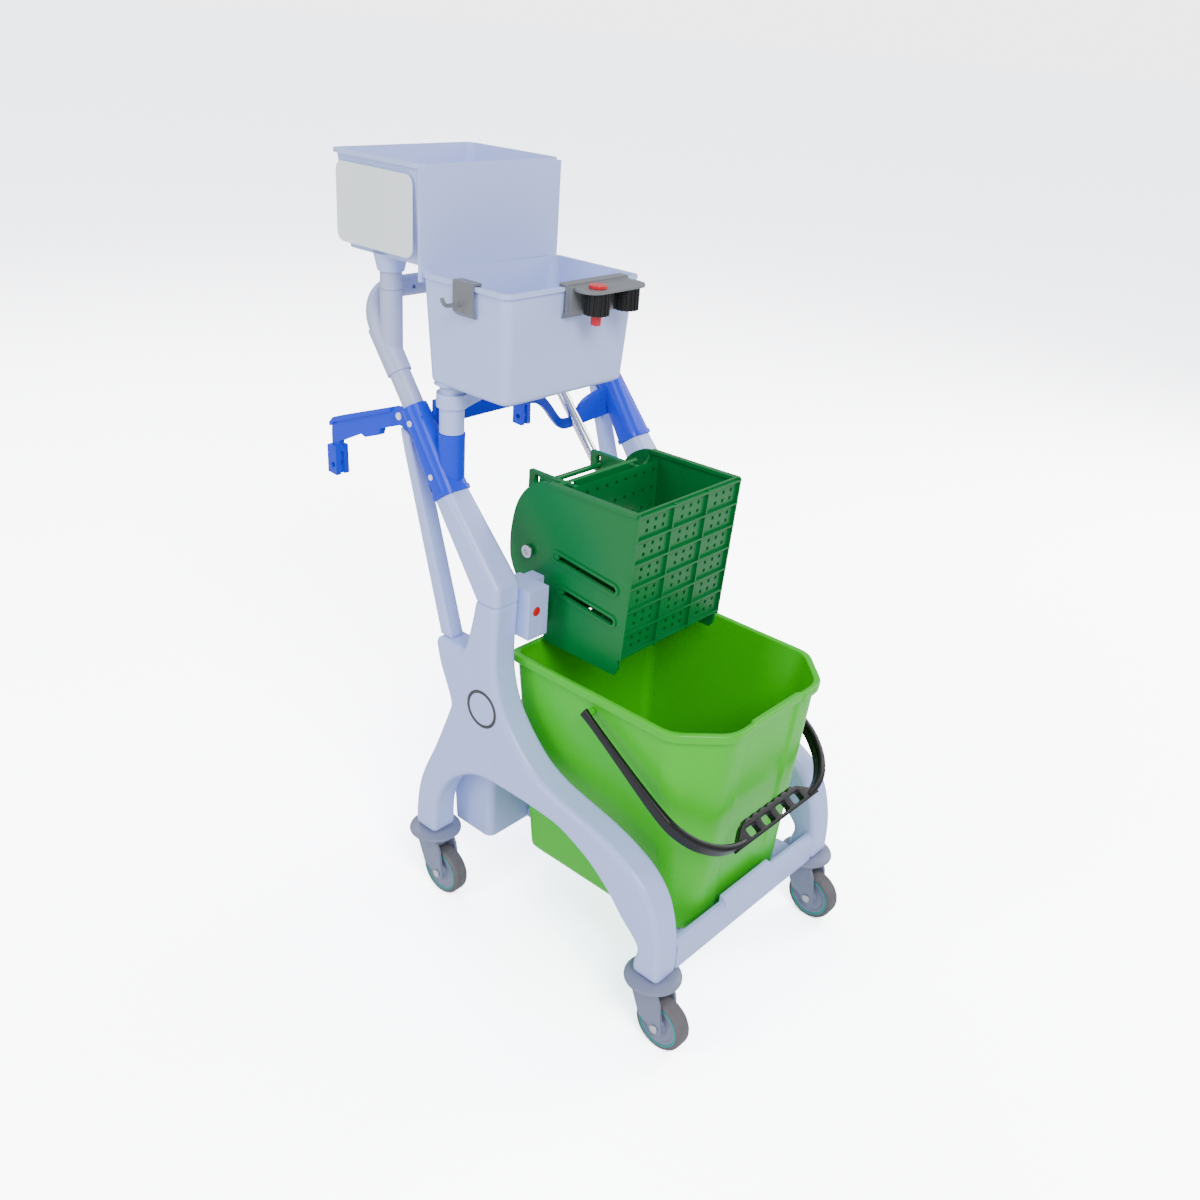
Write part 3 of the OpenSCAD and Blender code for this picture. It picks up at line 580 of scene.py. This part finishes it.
def finish(key):
    """The shared material of that name, made on first use."""
    if key in _finishes:
        return _finishes[key]
    c = bpy.context.scene.cart_colours
    makers = {
        "frame": lambda: moulded("frame_plastic", c.frame, 0.30, mottle=0.03),
        "caddy": lambda: moulded("caddy_plastic", c.caddy, 0.42, grain=0.07, mottle=0.025),
        "handle": lambda: moulded("handle_plastic", c.handle, 0.40, mottle=0.03),
        "blue": lambda: moulded(
            "blue_plastic", c.blue, 0.30, mottle=0.06, wear=0.1, specular=0.25
        ),
        # the pale green is both the scuffs' colour and a painted glow of light through the wall
        "bucket": lambda: thin_wall("bucket_plastic", c.bucket, (0.25, 0.75, 0.15)),
        "wringer": lambda: moulded(
            "wringer_plastic", c.wringer, 0.34, grain=0.06, mottle=0.08, wear=0.08, specular=0.3
        ),
        "caster": lambda: moulded("caster_plastic", c.caster, 0.42, grain=0.06),
        "hub": lambda: moulded("hub_plastic", c.caster, 0.46, grain=0.06),
        "tyre": lambda: rubber("wheel_rubber", c.tyre, 0.62),
        "ring": lambda: moulded("wheel_ring_plastic", c.ring, 0.4, grain=0.04),
        "black": lambda: moulded(
            "bail_plastic", c.black, 0.33, grain=0.08, mottle=0.15, wear=0.06, specular=0.3
        ),
        "roller": lambda: rubber("roller_rubber", c.black, 0.5),
        "red": lambda: moulded("red_plastic", c.red, 0.28, grain=0.03, coat=0.1),
        "pins": lambda: moulded(
            "pin_plastic", (0.82, 0.84, 0.88), 0.3, grain=0.03, mottle=0.02
        ),
        "panel": lambda: moulded(
            "milky_panel", (0.86, 0.93, 0.96), 0.3, grain=0.03, mottle=0.06, coat=0.15
        ),
        "clip": lambda: moulded("clip_plastic", c.clip, 0.4, grain=0.06),
        "badge": lambda: moulded("badge_print", (0.03, 0.03, 0.035), 0.45, grain=0.03),
        "plated": lambda: metal("plated_tube", (0.78, 0.79, 0.82), 0.1, brushed=0.1),
        "steel": lambda: metal("turned_steel", (0.62, 0.63, 0.66), 0.22, brushed=0.18),
    }
    _finishes[key] = makers[key]()
    return _finishes[key]


class CART_OT_side_frames(bpy.types.Operator):
    """Two arched side frames with generously rounded edges and a plain badge"""

    bl_idname = "cart.side_frames"
    bl_label = "Side frames"
    bl_options = {"REGISTER", "UNDO"}

    def execute(self, context):
        sizes = context.scene.cart_sizes
        for name, inner in (("frame_left", 1), ("frame_right", -1)):
            outline = self.without_notch(flat_outline(name, inner))
            outline = relaxed(resampled(outline, 4 * MM), 3)
            lo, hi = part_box(name)
            bm = bmesh.new()
            rims = []
            for side, level in ((-1, lo.x), (1, hi.x)):
                rims.append(crowned_face(bm, outline, level, side, sizes.frame_edge))
            bridge(bm, rims)
            bmesh.ops.recalc_face_normals(bm, faces=bm.faces)
            piece(name + "_moulding", bm, finish("frame"), "frame", [name], 60)
        self.badge(sizes.badge / 2)
        return {"FINISHED"}

    def without_notch(self, outline):
        """The frame's silhouette, without the notch that takes the rear box's ear."""
        return [
            (y, z) for y, z in outline
            if not (124 * MM < y < 144 * MM and 121 * MM < z < 213 * MM)
        ]

    def badge(self, outer):
        """A blank round badge on the left frame's outer face."""
        centre = Vector((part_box("frame_left")[0].x, AXLE_MID_Y + 122 * MM, 374 * MM))
        inner, proud, sunk = outer - 4.6 * MM, -0.35 * MM, 0.2 * MM
        bm = bmesh.new()
        lathe(bm, [(sunk, outer), (proud, outer), (proud, inner), (sunk, inner)], centre, 64)
        piece("badge_ring", bm, finish("badge"), "frame", ())


class CART_OT_frame_mouldings(bpy.types.Operator):
    """Necks, front bar, rear box, rails, struts, carriers, front post and the caddy's bracket"""

    bl_idname = "cart.frame_mouldings"
    bl_label = "Frame mouldings"
    bl_options = {"REGISTER", "UNDO"}

    def execute(self, context):
        small = context.scene.cart_sizes.small_edge
        for name in ("neck_left", "neck_right"):
            softened(name, finish("frame"), 0.6 * MM)
        softened("front_bar", finish("frame"), 1.5 * MM)
        softened("rear_box", finish("frame"), 0.7 * MM)
        softened("base_rails", finish("frame"), 1.5 * MM)
        for name in ("strut_left", "strut_right"):
            softened(name, finish("frame"), 3.5 * MM, 4)
        for name in ("carrier_left", "carrier_right", "front_post"):
            softened(name, finish("frame"), small)
        softened("tray_bracket", finish("frame"), 1.0 * MM)
        return {"FINISHED"}


class CART_OT_handle(bpy.types.Operator):
    """Push handle, tubes, their joints and the rear post"""

    bl_idname = "cart.handle"
    bl_label = "Push handle"
    bl_options = {"REGISTER", "UNDO"}

    def execute(self, context):
        for name in ("push_handle", "tubes", "rear_post"):
            softened(name, finish("handle"), 0.5 * MM)
        for name in ("joint_left", "joint_right"):
            softened(name, finish("handle"), 1.0 * MM)
        return {"FINISHED"}


class CART_OT_blue_mouldings(bpy.types.Operator):
    """Blue connectors, cross brace and bag arms, with their white pins"""

    bl_idname = "cart.blue_mouldings"
    bl_label = "Blue mouldings"
    bl_options = {"REGISTER", "UNDO"}

    def execute(self, context):
        for name in ("connector_left", "connector_right"):
            softened(name, finish("blue"), 0.8 * MM)
        softened("cross_brace", finish("blue"), 1.2 * MM)
        for name in ("arm_left", "arm_right"):
            softened(name, finish("blue"), 1.0 * MM)
        for name in ("latch_pins", "arm_pins"):
            softened(name, finish("pins"), 0.6 * MM)
        return {"FINISHED"}


class CART_OT_casters(bpy.types.Operator):
    """Four swivel casters: bumpers, forks, axles, hubs, ringed tyres"""

    bl_idname = "cart.casters"
    bl_label = "Casters"
    bl_options = {"REGISTER", "UNDO"}

    def execute(self, context):
        softened("bumpers", finish("caster"), 0.8 * MM)
        for corner in CORNERS:
            softened("fork_" + corner, finish("caster"), 0.9 * MM)
            softened("axle_" + corner, finish("steel"), 0.7 * MM)
            self.wheel(corner)
        return {"FINISHED"}

    def wheel(self, corner):
        """A round-shouldered tyre, a coloured ring and a dished hub, from the outside in."""
        lo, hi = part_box("tyre_" + corner)
        centre = (lo + hi) / 2
        half, radius = (hi.x - lo.x) / 2, (hi.z - lo.z) / 2
        seat, shoulder, flatten = 30.6 * MM, 5.5 * MM, 0.8
        body = "wheel_" + corner
        tread = [(-half + 1.2 * MM, seat), (-half + 0.2 * MM, seat + 1.4 * MM)]
        for k in range(9):
            a = math.pi / 2 * k / 8
            tread.append(
                (-half + shoulder * (1 - math.cos(a)),
                 radius - shoulder * (1 - math.sin(a)) * flatten)
            )
        bm = bmesh.new()
        lathe(bm, mirrored(tread), centre, 96)
        piece("tyre_band_" + corner, bm, finish("tyre"), body, ["tyre_" + corner])
        band = ((0.6, 28.2), (0.1, 29.2), (0.1, 30.4), (0.6, 31.4))
        bm = bmesh.new()
        lathe(bm, mirrored([(-half + x * MM, r * MM) for x, r in band]), centre, 96)
        piece("teal_ring_" + corner, bm, finish("ring"), body, ())
        dish = (
            (-0.5, 4.1), (-0.5, 8.2), (0.4, 9.2), (3.2, 10.6), (3.9, 12.5), (3.4, 17),
            (3.6, 22.5), (2.6, 24.4), (1.1, 25.2), (0.9, 27.2), (1.4, 29),
        )
        bm = bmesh.new()
        lathe(bm, mirrored([(-half + x * MM, r * MM) for x, r in dish]), centre, 72)
        piece("hub_disc_" + corner, bm, finish("hub"), body, ["hub_" + corner])


class CART_OT_bucket(bpy.types.Operator):
    """Tapered bucket with cut front corners, a set-back front panel and a banded rim"""

    bl_idname = "cart.bucket"
    bl_label = "Bucket"
    bl_options = {"REGISTER", "UNDO"}

    def section(self, share, grow):
        """The outline at a share of the height, grown outwards by a distance."""
        lo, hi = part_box("bucket")
        below = 1 - share
        stud, lip, slope = 5 * MM, 6 * MM, 24 * MM
        half = (hi.x - lo.x) / 2 - stud - lip
        half = half - slope * below + grow
        front = lo.y + lip + slope * below - grow
        back = hi.y - lip - 22 * MM * below + grow
        cut = 56 * MM - 26 * MM * below + grow * 0.41
        panel = (half - cut) * 0.55
        edge = panel + 4 * MM
        set_back = (3.6 if grow < 3 * MM else 2.4) * MM * min(1.0, share * 2.2)
        left_side = [
            (-half, back, 14), (-half, front + cut, 16), (-half + cut, front, 24),
            (-edge, front, 3), (-panel, front + set_back, 3),
        ]
        corners = left_side + [(-x, y, r) for x, y, r in left_side[::-1]]
        return self.rounded_corners([(x + MIDDLE_X, y, r * MM) for x, y, r in corners])

    def rounded_corners(self, corners, steps=6):
        """The outline with each corner cut by a curve that starts its radius away."""
        out, n = [], len(corners)
        for i, (x, y, r) in enumerate(corners):
            here = Vector((x, y))
            before = Vector(corners[i - 1][:2]) - here
            after = Vector(corners[(i + 1) % n][:2]) - here
            reach = min(r, before.length * 0.48, after.length * 0.48)
            a, b = here + before.normalized() * reach, here + after.normalized() * reach
            for k in range(steps + 1):
                t = k / steps
                p = a * (1 - t) ** 2 + here * 2 * t * (1 - t) + b * t * t
                out.append((p.x, p.y))
        return out

    def execute(self, context):
        lo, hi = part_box("bucket")
        low, top = lo.z, hi.z
        high = top - low
        wall, band = 3 * MM, 13 * MM
        edge = context.scene.cart_sizes.rim_edge
        rim_out, floor_round, under_band = 5.8 * MM, 0.024, 0.955
        levels = []
        for share, grow in ((0.0, -5.0), (0.004, -2.6), (0.012, -0.8), (floor_round, 0.0)):
            levels.append((low + share * high, self.section(share, grow * MM)))
        for k in range(1, 12):
            share = floor_round + (under_band - floor_round) * k / 11
            levels.append((low + share * high, self.section(share, 0.0)))
        for rise, grow in ((0.0, 0.6), (-0.2, 4.6), (0.9, 5.6)):
            levels.append((top - band + rise * MM, self.section(0.96, grow * MM)))
        for k in range(5):
            a = math.pi / 2 * k / 4
            grow = rim_out - edge * (1 - math.cos(a))
            levels.append((top - edge * (1 - math.sin(a)), self.section(1.0, grow)))
        levels.append((top - 0.2 * MM, self.section(1.0, 0.8 * MM)))
        levels.append((top - 1.2 * MM, self.section(1.0, -wall * 0.75)))
        levels.append((top - 3.5 * MM, self.section(0.99, -wall)))
        for k in range(1, 11):
            share = 0.98 - (0.98 - 0.03) * k / 10
            levels.append((low + share * high, self.section(share, -wall)))
        levels.append((low + wall + 1.2 * MM, self.section(0.02, -wall - 2 * MM)))
        levels.append((low + wall, self.section(0.015, -wall - 6 * MM)))
        bm = bmesh.new()
        rings = [[bm.verts.new((x, y, z)) for x, y in outline] for z, outline in levels]
        bridge(bm, rings)
        bm.faces.new(rings[0])
        bm.faces.new(rings[-1])
        bmesh.ops.recalc_face_normals(bm, faces=bm.faces)
        for side, end in ((-1, lo.x), (1, hi.x)):
            self.stud(bm, side, bail_pivot(end))
        piece("bucket_shell", bm, finish("bucket"), "bucket", ["bucket"], 32)
        return {"FINISHED"}

    def stud(self, bm, side, centre):
        """The pivot stud that the bail's eye turns on."""
        radius, core, chamfer, length = 4.95 * MM, 0.4 * MM, 0.8 * MM, 12 * MM
        studs = bmesh.new()
        profile = [
            (0.0, core), (0.0, radius - chamfer), (-side * chamfer, radius),
            (-side * length, radius), (-side * length, core),
        ]
        lathe(studs, profile, centre, 32)
        mesh = bpy.data.meshes.new("stud")
        studs.to_mesh(mesh)
        studs.free()
        bm.from_mesh(mesh)
        bpy.data.meshes.remove(mesh)


def bail_pivot(x):
    """The point at x on the line that the bail turns about."""
    return Vector((x, AXLE_MID_Y - 25 * MM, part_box("bucket")[1].z - 29 * MM))


class CART_OT_bail(bpy.types.Operator):
    """Black carrying bail: two grooved arms and a scalloped grip with windows"""

    bl_idname = "cart.bail"
    bl_label = "Bail"
    bl_options = {"REGISTER", "UNDO"}

    def execute(self, context):
        droop = Matrix.Rotation(math.radians(33), 3, "X")

        def at(x, y, z=0.0):
            return bail_pivot(MIDDLE_X) + droop @ Vector((x, y, z))

        stations = [  # sideways, forwards, width and height of the strap, in mm
            (161.6, 5, 6.4, 14), (161.6, -16, 6.2, 12), (162.1, -60, 6.8, 12.5),
            (162.6, -110, 7.4, 15), (162, -150, 8.4, 17.5), (158, -182, 9.4, 19),
            (143, -212, 10, 19.6), (120, -233, 10, 19.6), (97, -242.5, 9.6, 17),
            (74, -246, 9, 13),
        ]
        for side, name in ((-1, "bail_arm_left"), (1, "bail_arm_right")):
            line = smooth_path([Vector((side * x, y, 0)) * MM for x, y, _, _ in stations], 5)
            straps = smooth_path([Vector((w, h, 0)) * MM for _, _, w, h in stations], 5)
            path = []
            for i, p in enumerate(line):
                ahead = (line[min(i + 1, len(line) - 1)] - line[max(i - 1, 0)]).normalized()
                across = Vector((-ahead.y, ahead.x, 0)) * -side
                path.append((at(*p), droop @ across, droop @ Vector((0, 0, 1))))
            bm = bmesh.new()
            sweep(bm, path, [self.channel(strap.x, strap.y) for strap in straps])
            piece(name, bm, finish("black"), "bail", (), 30)
        bm = bmesh.new()
        self.grip(bm, at, 246 * MM)
        piece("bail_grip", bm, finish("black"), "bail", ["bail"], 32)
        return {"FINISHED"}

    def channel(self, width, height):
        """A strap's section with a shallow groove along its outer face."""
        w, h, groove = width / 2, height / 2, width * 0.16
        dip = [(w, h * 0.42), (w - groove, h * 0.3), (w - groove, -h * 0.3), (w, -h * 0.42)]
        outline = pill(width, height, width * 0.32, 3) + dip
        return sorted(outline, key=lambda p: math.atan2(p[1], p[0] + 0.35 * abs(p[1])))

    def grip(self, bm, at, reach):
        """The wide middle: an outer bar, ribs between windows, and a scalloped inner bar."""
        half_x, half_z, bevel = 94 * MM, 5.6 * MM, 1.6 * MM
        outer, inner, far = -reach - 4.9 * MM, -reach + 0.2 * MM, -reach + 20.5 * MM
        windows, pitch, gap, deep = 4, 34 * MM, 22 * MM, 12.6 * MM
        scallops, fingers, tail, bumps = 7, 58 * MM, outer + 9 * MM, 96

        outline = [(-half_x, outer), (half_x, outer)]
        for k in range(bumps + 1):
            x = half_x - 2 * half_x * k / bumps
            if abs(x) < fingers:
                wave = math.sin(math.pi * scallops * (x + fingers) / (2 * fingers))
                y = far + 3.2 * MM * abs(wave)
            else:
                t = (abs(x) - fingers) / (half_x - fingers)
                y = far + (tail - far) * t * t * (3 - 2 * t)
            outline.append((x, y))
        holes = []
        for k in range(windows):
            x, y = (k - (windows - 1) / 2) * pitch, inner + 6.5 * MM
            holes.append([(x + u, y + v) for u, v in pill(gap, deep, 3.5 * MM)])
        curve = bpy.data.curves.new("grip_plate", "CURVE")
        curve.dimensions = "2D"
        curve.fill_mode = "BOTH"
        curve.extrude = half_z - bevel
        curve.bevel_depth = bevel
        curve.bevel_resolution = 2
        curve.offset = -bevel
        for loop in [outline, *holes]:
            spline = curve.splines.new("POLY")
            spline.points.add(len(loop) - 1)
            for point, (x, y) in zip(spline.points, loop):
                point.co = (x, y, 0, 1)
            spline.use_cyclic_u = True
        holder = bpy.data.objects.new("grip_plate", curve)
        bpy.context.scene.collection.objects.link(holder)
        bpy.context.view_layer.update()
        bm.from_mesh(holder.to_mesh())
        holder.to_mesh_clear()
        bpy.data.objects.remove(holder)
        bpy.data.curves.remove(curve)
        for v in bm.verts:
            v.co = at(*v.co)
        bmesh.ops.remove_doubles(bm, verts=bm.verts, dist=WELD / 2)
        bmesh.ops.recalc_face_normals(bm, faces=bm.faces)


class CART_OT_wringer(bpy.types.Operator):
    """Wringer box with ribs, drain holes and slots, its press plate and pivot caps"""

    bl_idname = "cart.wringer"
    bl_label = "Wringer"
    bl_options = {"REGISTER", "UNDO"}

    def execute(self, context):
        softened("wringer_body", finish("wringer"), 0.7 * MM, 2)
        softened("press_plate", finish("wringer"), 0.5 * MM, 2)
        softened("pivot_caps", finish("steel"), 0.6 * MM)
        return {"FINISHED"}


class CART_OT_lever(bpy.types.Operator):
    """Plated press lever with its grip and crank"""

    bl_idname = "cart.lever"
    bl_label = "Press lever"
    bl_options = {"REGISTER", "UNDO"}

    def execute(self, context):
        softened("lever_tube", finish("plated"), 0.5 * MM)
        softened("press_crank", finish("wringer"), 0.5 * MM)
        softened("lever_grip", finish("black"), 1.2 * MM)
        return {"FINISHED"}


class CART_OT_caddy(bpy.types.Operator):
    """Two-tier caddy with its milky side panel"""

    bl_idname = "cart.caddy"
    bl_label = "Caddy"
    bl_options = {"REGISTER", "UNDO"}

    def execute(self, context):
        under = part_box("tray")[0].z + 0.4 * MM
        bottom_edges = [(7 * MM, lambda p: p.z < under)]
        softened(
            "tray", finish("caddy"), 0.9 * MM, first=bottom_edges, crease_deg=44
        )
        softened("tray_panel", finish("panel"), 0.8 * MM)
        return {"FINISHED"}


class CART_OT_clips(bpy.types.Operator):
    """Hook clip, tool clamp with ribbed rollers, red knob and push buttons"""

    bl_idname = "cart.clips"
    bl_label = "Clips and buttons"
    bl_options = {"REGISTER", "UNDO"}

    def execute(self, context):
        softened("hook_clip", finish("clip"), 0.5 * MM)
        softened("clamp_base", finish("clip"), 0.6 * MM)
        for name in ("roller_a", "roller_b"):
            softened(name, finish("roller"), 0.5 * MM, 2)
        for name in ("clamp_knob", "button_left", "button_right"):
            softened(name, finish("red"), 0.7 * MM)
        return {"FINISHED"}


class CART_OT_stage(bpy.types.Operator):
    """Pale floor, soft studio light and the camera"""

    bl_idname = "cart.stage"
    bl_label = "Stage, lights and camera"
    bl_options = {"REGISTER", "UNDO"}

    def execute(self, context):
        self.floor()
        self.air()
        self.lamps()
        self.camera()
        return {"FINISHED"}

    def floor(self):
        """A wide sheet of paper just under the wheels."""
        reach, under = 60.0, -0.2 * MM
        bm = bmesh.new()
        corners = [(-reach, -reach), (reach, -reach), (reach, reach), (-reach, reach)]
        bm.faces.new([bm.verts.new((x, y, under)) for x, y in corners])
        mesh = bpy.data.meshes.new("studio_floor")
        bm.to_mesh(mesh)
        bm.free()
        floor = bpy.data.objects.new("studio_floor", mesh)
        bpy.context.scene.collection.objects.link(floor)
        s = Shader(bpy.data.materials.new("studio_paper"))
        tone = s.mix(s.noise(0.6), (0.86, 0.87, 0.885, 1), (0.90, 0.91, 0.92, 1))
        s.set(Base_Color=tone, Roughness=0.6, Specular_IOR_Level=0.2)
        bright = s.node("ShaderNodeBsdfDiffuse", inputs={"Color": (6.0, 6.05, 6.2, 1)})
        s.brighter_in_view(bright, "Material Output")
        mesh.materials.append(s.owner)

    def air(self):
        """Soft light from all round, and a white backdrop behind the cart."""
        world = bpy.data.worlds.new("studio_air")
        bpy.context.scene.world = world
        s = Shader(world, "Background")
        s.set(Color=(0.93, 0.95, 1.0, 1), Strength=0.66)
        white = {"Color": (0.97, 0.975, 0.985, 1), "Strength": 4.0}
        s.brighter_in_view(s.node("ShaderNodeBackground", inputs=white), "World Output")

    def lamps(self):
        target = Vector((0.0, 0.0, 0.5))
        for name, place, width, height, power in (
            ("key_softbox", (-1.6, -2.6, 3.2), 1.6, 1.6, 135.0),
            ("side_softbox", (2.8, -0.8, 2.2), 1.2, 2.0, 55.0),
            ("back_softbox", (0.6, 3.0, 3.0), 2.2, 1.4, 45.0),
            ("left_strip", (-3.0, 0.8, 1.8), 0.7, 2.2, 42.0),
        ):
            light = bpy.data.lights.new(name, "AREA")
            light.shape = "RECTANGLE"
            light.size = width
            light.size_y = height
            light.energy = power
            lamp = bpy.data.objects.new(name, light)
            lamp.location = place
            lamp.rotation_euler = (target - Vector(place)).to_track_quat("-Z", "Y").to_euler()
            bpy.context.scene.collection.objects.link(lamp)

    def camera(self):
        place, focal_mm, film_mm = (-1.1323, -0.9566, 1.2223), 35.32, 36.0
        turn, dip, roll = (math.radians(a) for a in (-50.12, 26.553, 4.332))
        ahead = Vector(
            (-math.sin(turn) * math.cos(dip), math.cos(turn) * math.cos(dip), -math.sin(dip))
        )
        right = Vector((math.cos(turn), math.sin(turn), 0))
        up = right.cross(ahead)
        right, up = (
            right * math.cos(roll) + up * math.sin(roll),
            up * math.cos(roll) - right * math.sin(roll),
        )
        data = bpy.data.cameras.new("studio_camera")
        data.sensor_width = film_mm
        data.lens = focal_mm
        camera = bpy.data.objects.new("studio_camera", data)
        facing = Matrix((right, up, -ahead)).transposed().to_4x4()
        camera.matrix_world = Matrix.Translation(place) @ facing
        bpy.context.scene.collection.objects.link(camera)
        bpy.context.scene.camera = camera


OPERATORS = (
    CART_OT_side_frames,
    CART_OT_frame_mouldings,
    CART_OT_handle,
    CART_OT_blue_mouldings,
    CART_OT_casters,
    CART_OT_bucket,
    CART_OT_bail,
    CART_OT_wringer,
    CART_OT_lever,
    CART_OT_caddy,
    CART_OT_clips,
    CART_OT_stage,
)


class CART_PT_sidebar(bpy.types.Panel):
    """The cart's pieces, sizes and colours"""

    bl_idname = "CART_PT_sidebar"
    bl_label = "Housekeeping cart"
    bl_space_type = "VIEW_3D"
    bl_region_type = "UI"
    bl_category = "Cart"

    def draw(self, context):
        layout = self.layout
        for group in (context.scene.cart_sizes, context.scene.cart_colours):
            for key in group.__annotations__:
                layout.prop(group, key)
        for operator in OPERATORS:
            layout.operator(operator.bl_idname)


CLASSES = (CartColours, CartSizes, *OPERATORS, CART_PT_sidebar)


def register():
    for cls in CLASSES:
        bpy.utils.register_class(cls)
    bpy.types.Scene.cart_colours = bpy.props.PointerProperty(type=CartColours)
    bpy.types.Scene.cart_sizes = bpy.props.PointerProperty(type=CartSizes)


def unregister():
    del bpy.types.Scene.cart_sizes
    del bpy.types.Scene.cart_colours
    for cls in reversed(CLASSES):
        bpy.utils.unregister_class(cls)


def main():
    register()
    for operator in OPERATORS:
        group, name = operator.bl_idname.split(".")
        getattr(getattr(bpy.ops, group), name)()


if __name__ == "__main__":
    main()
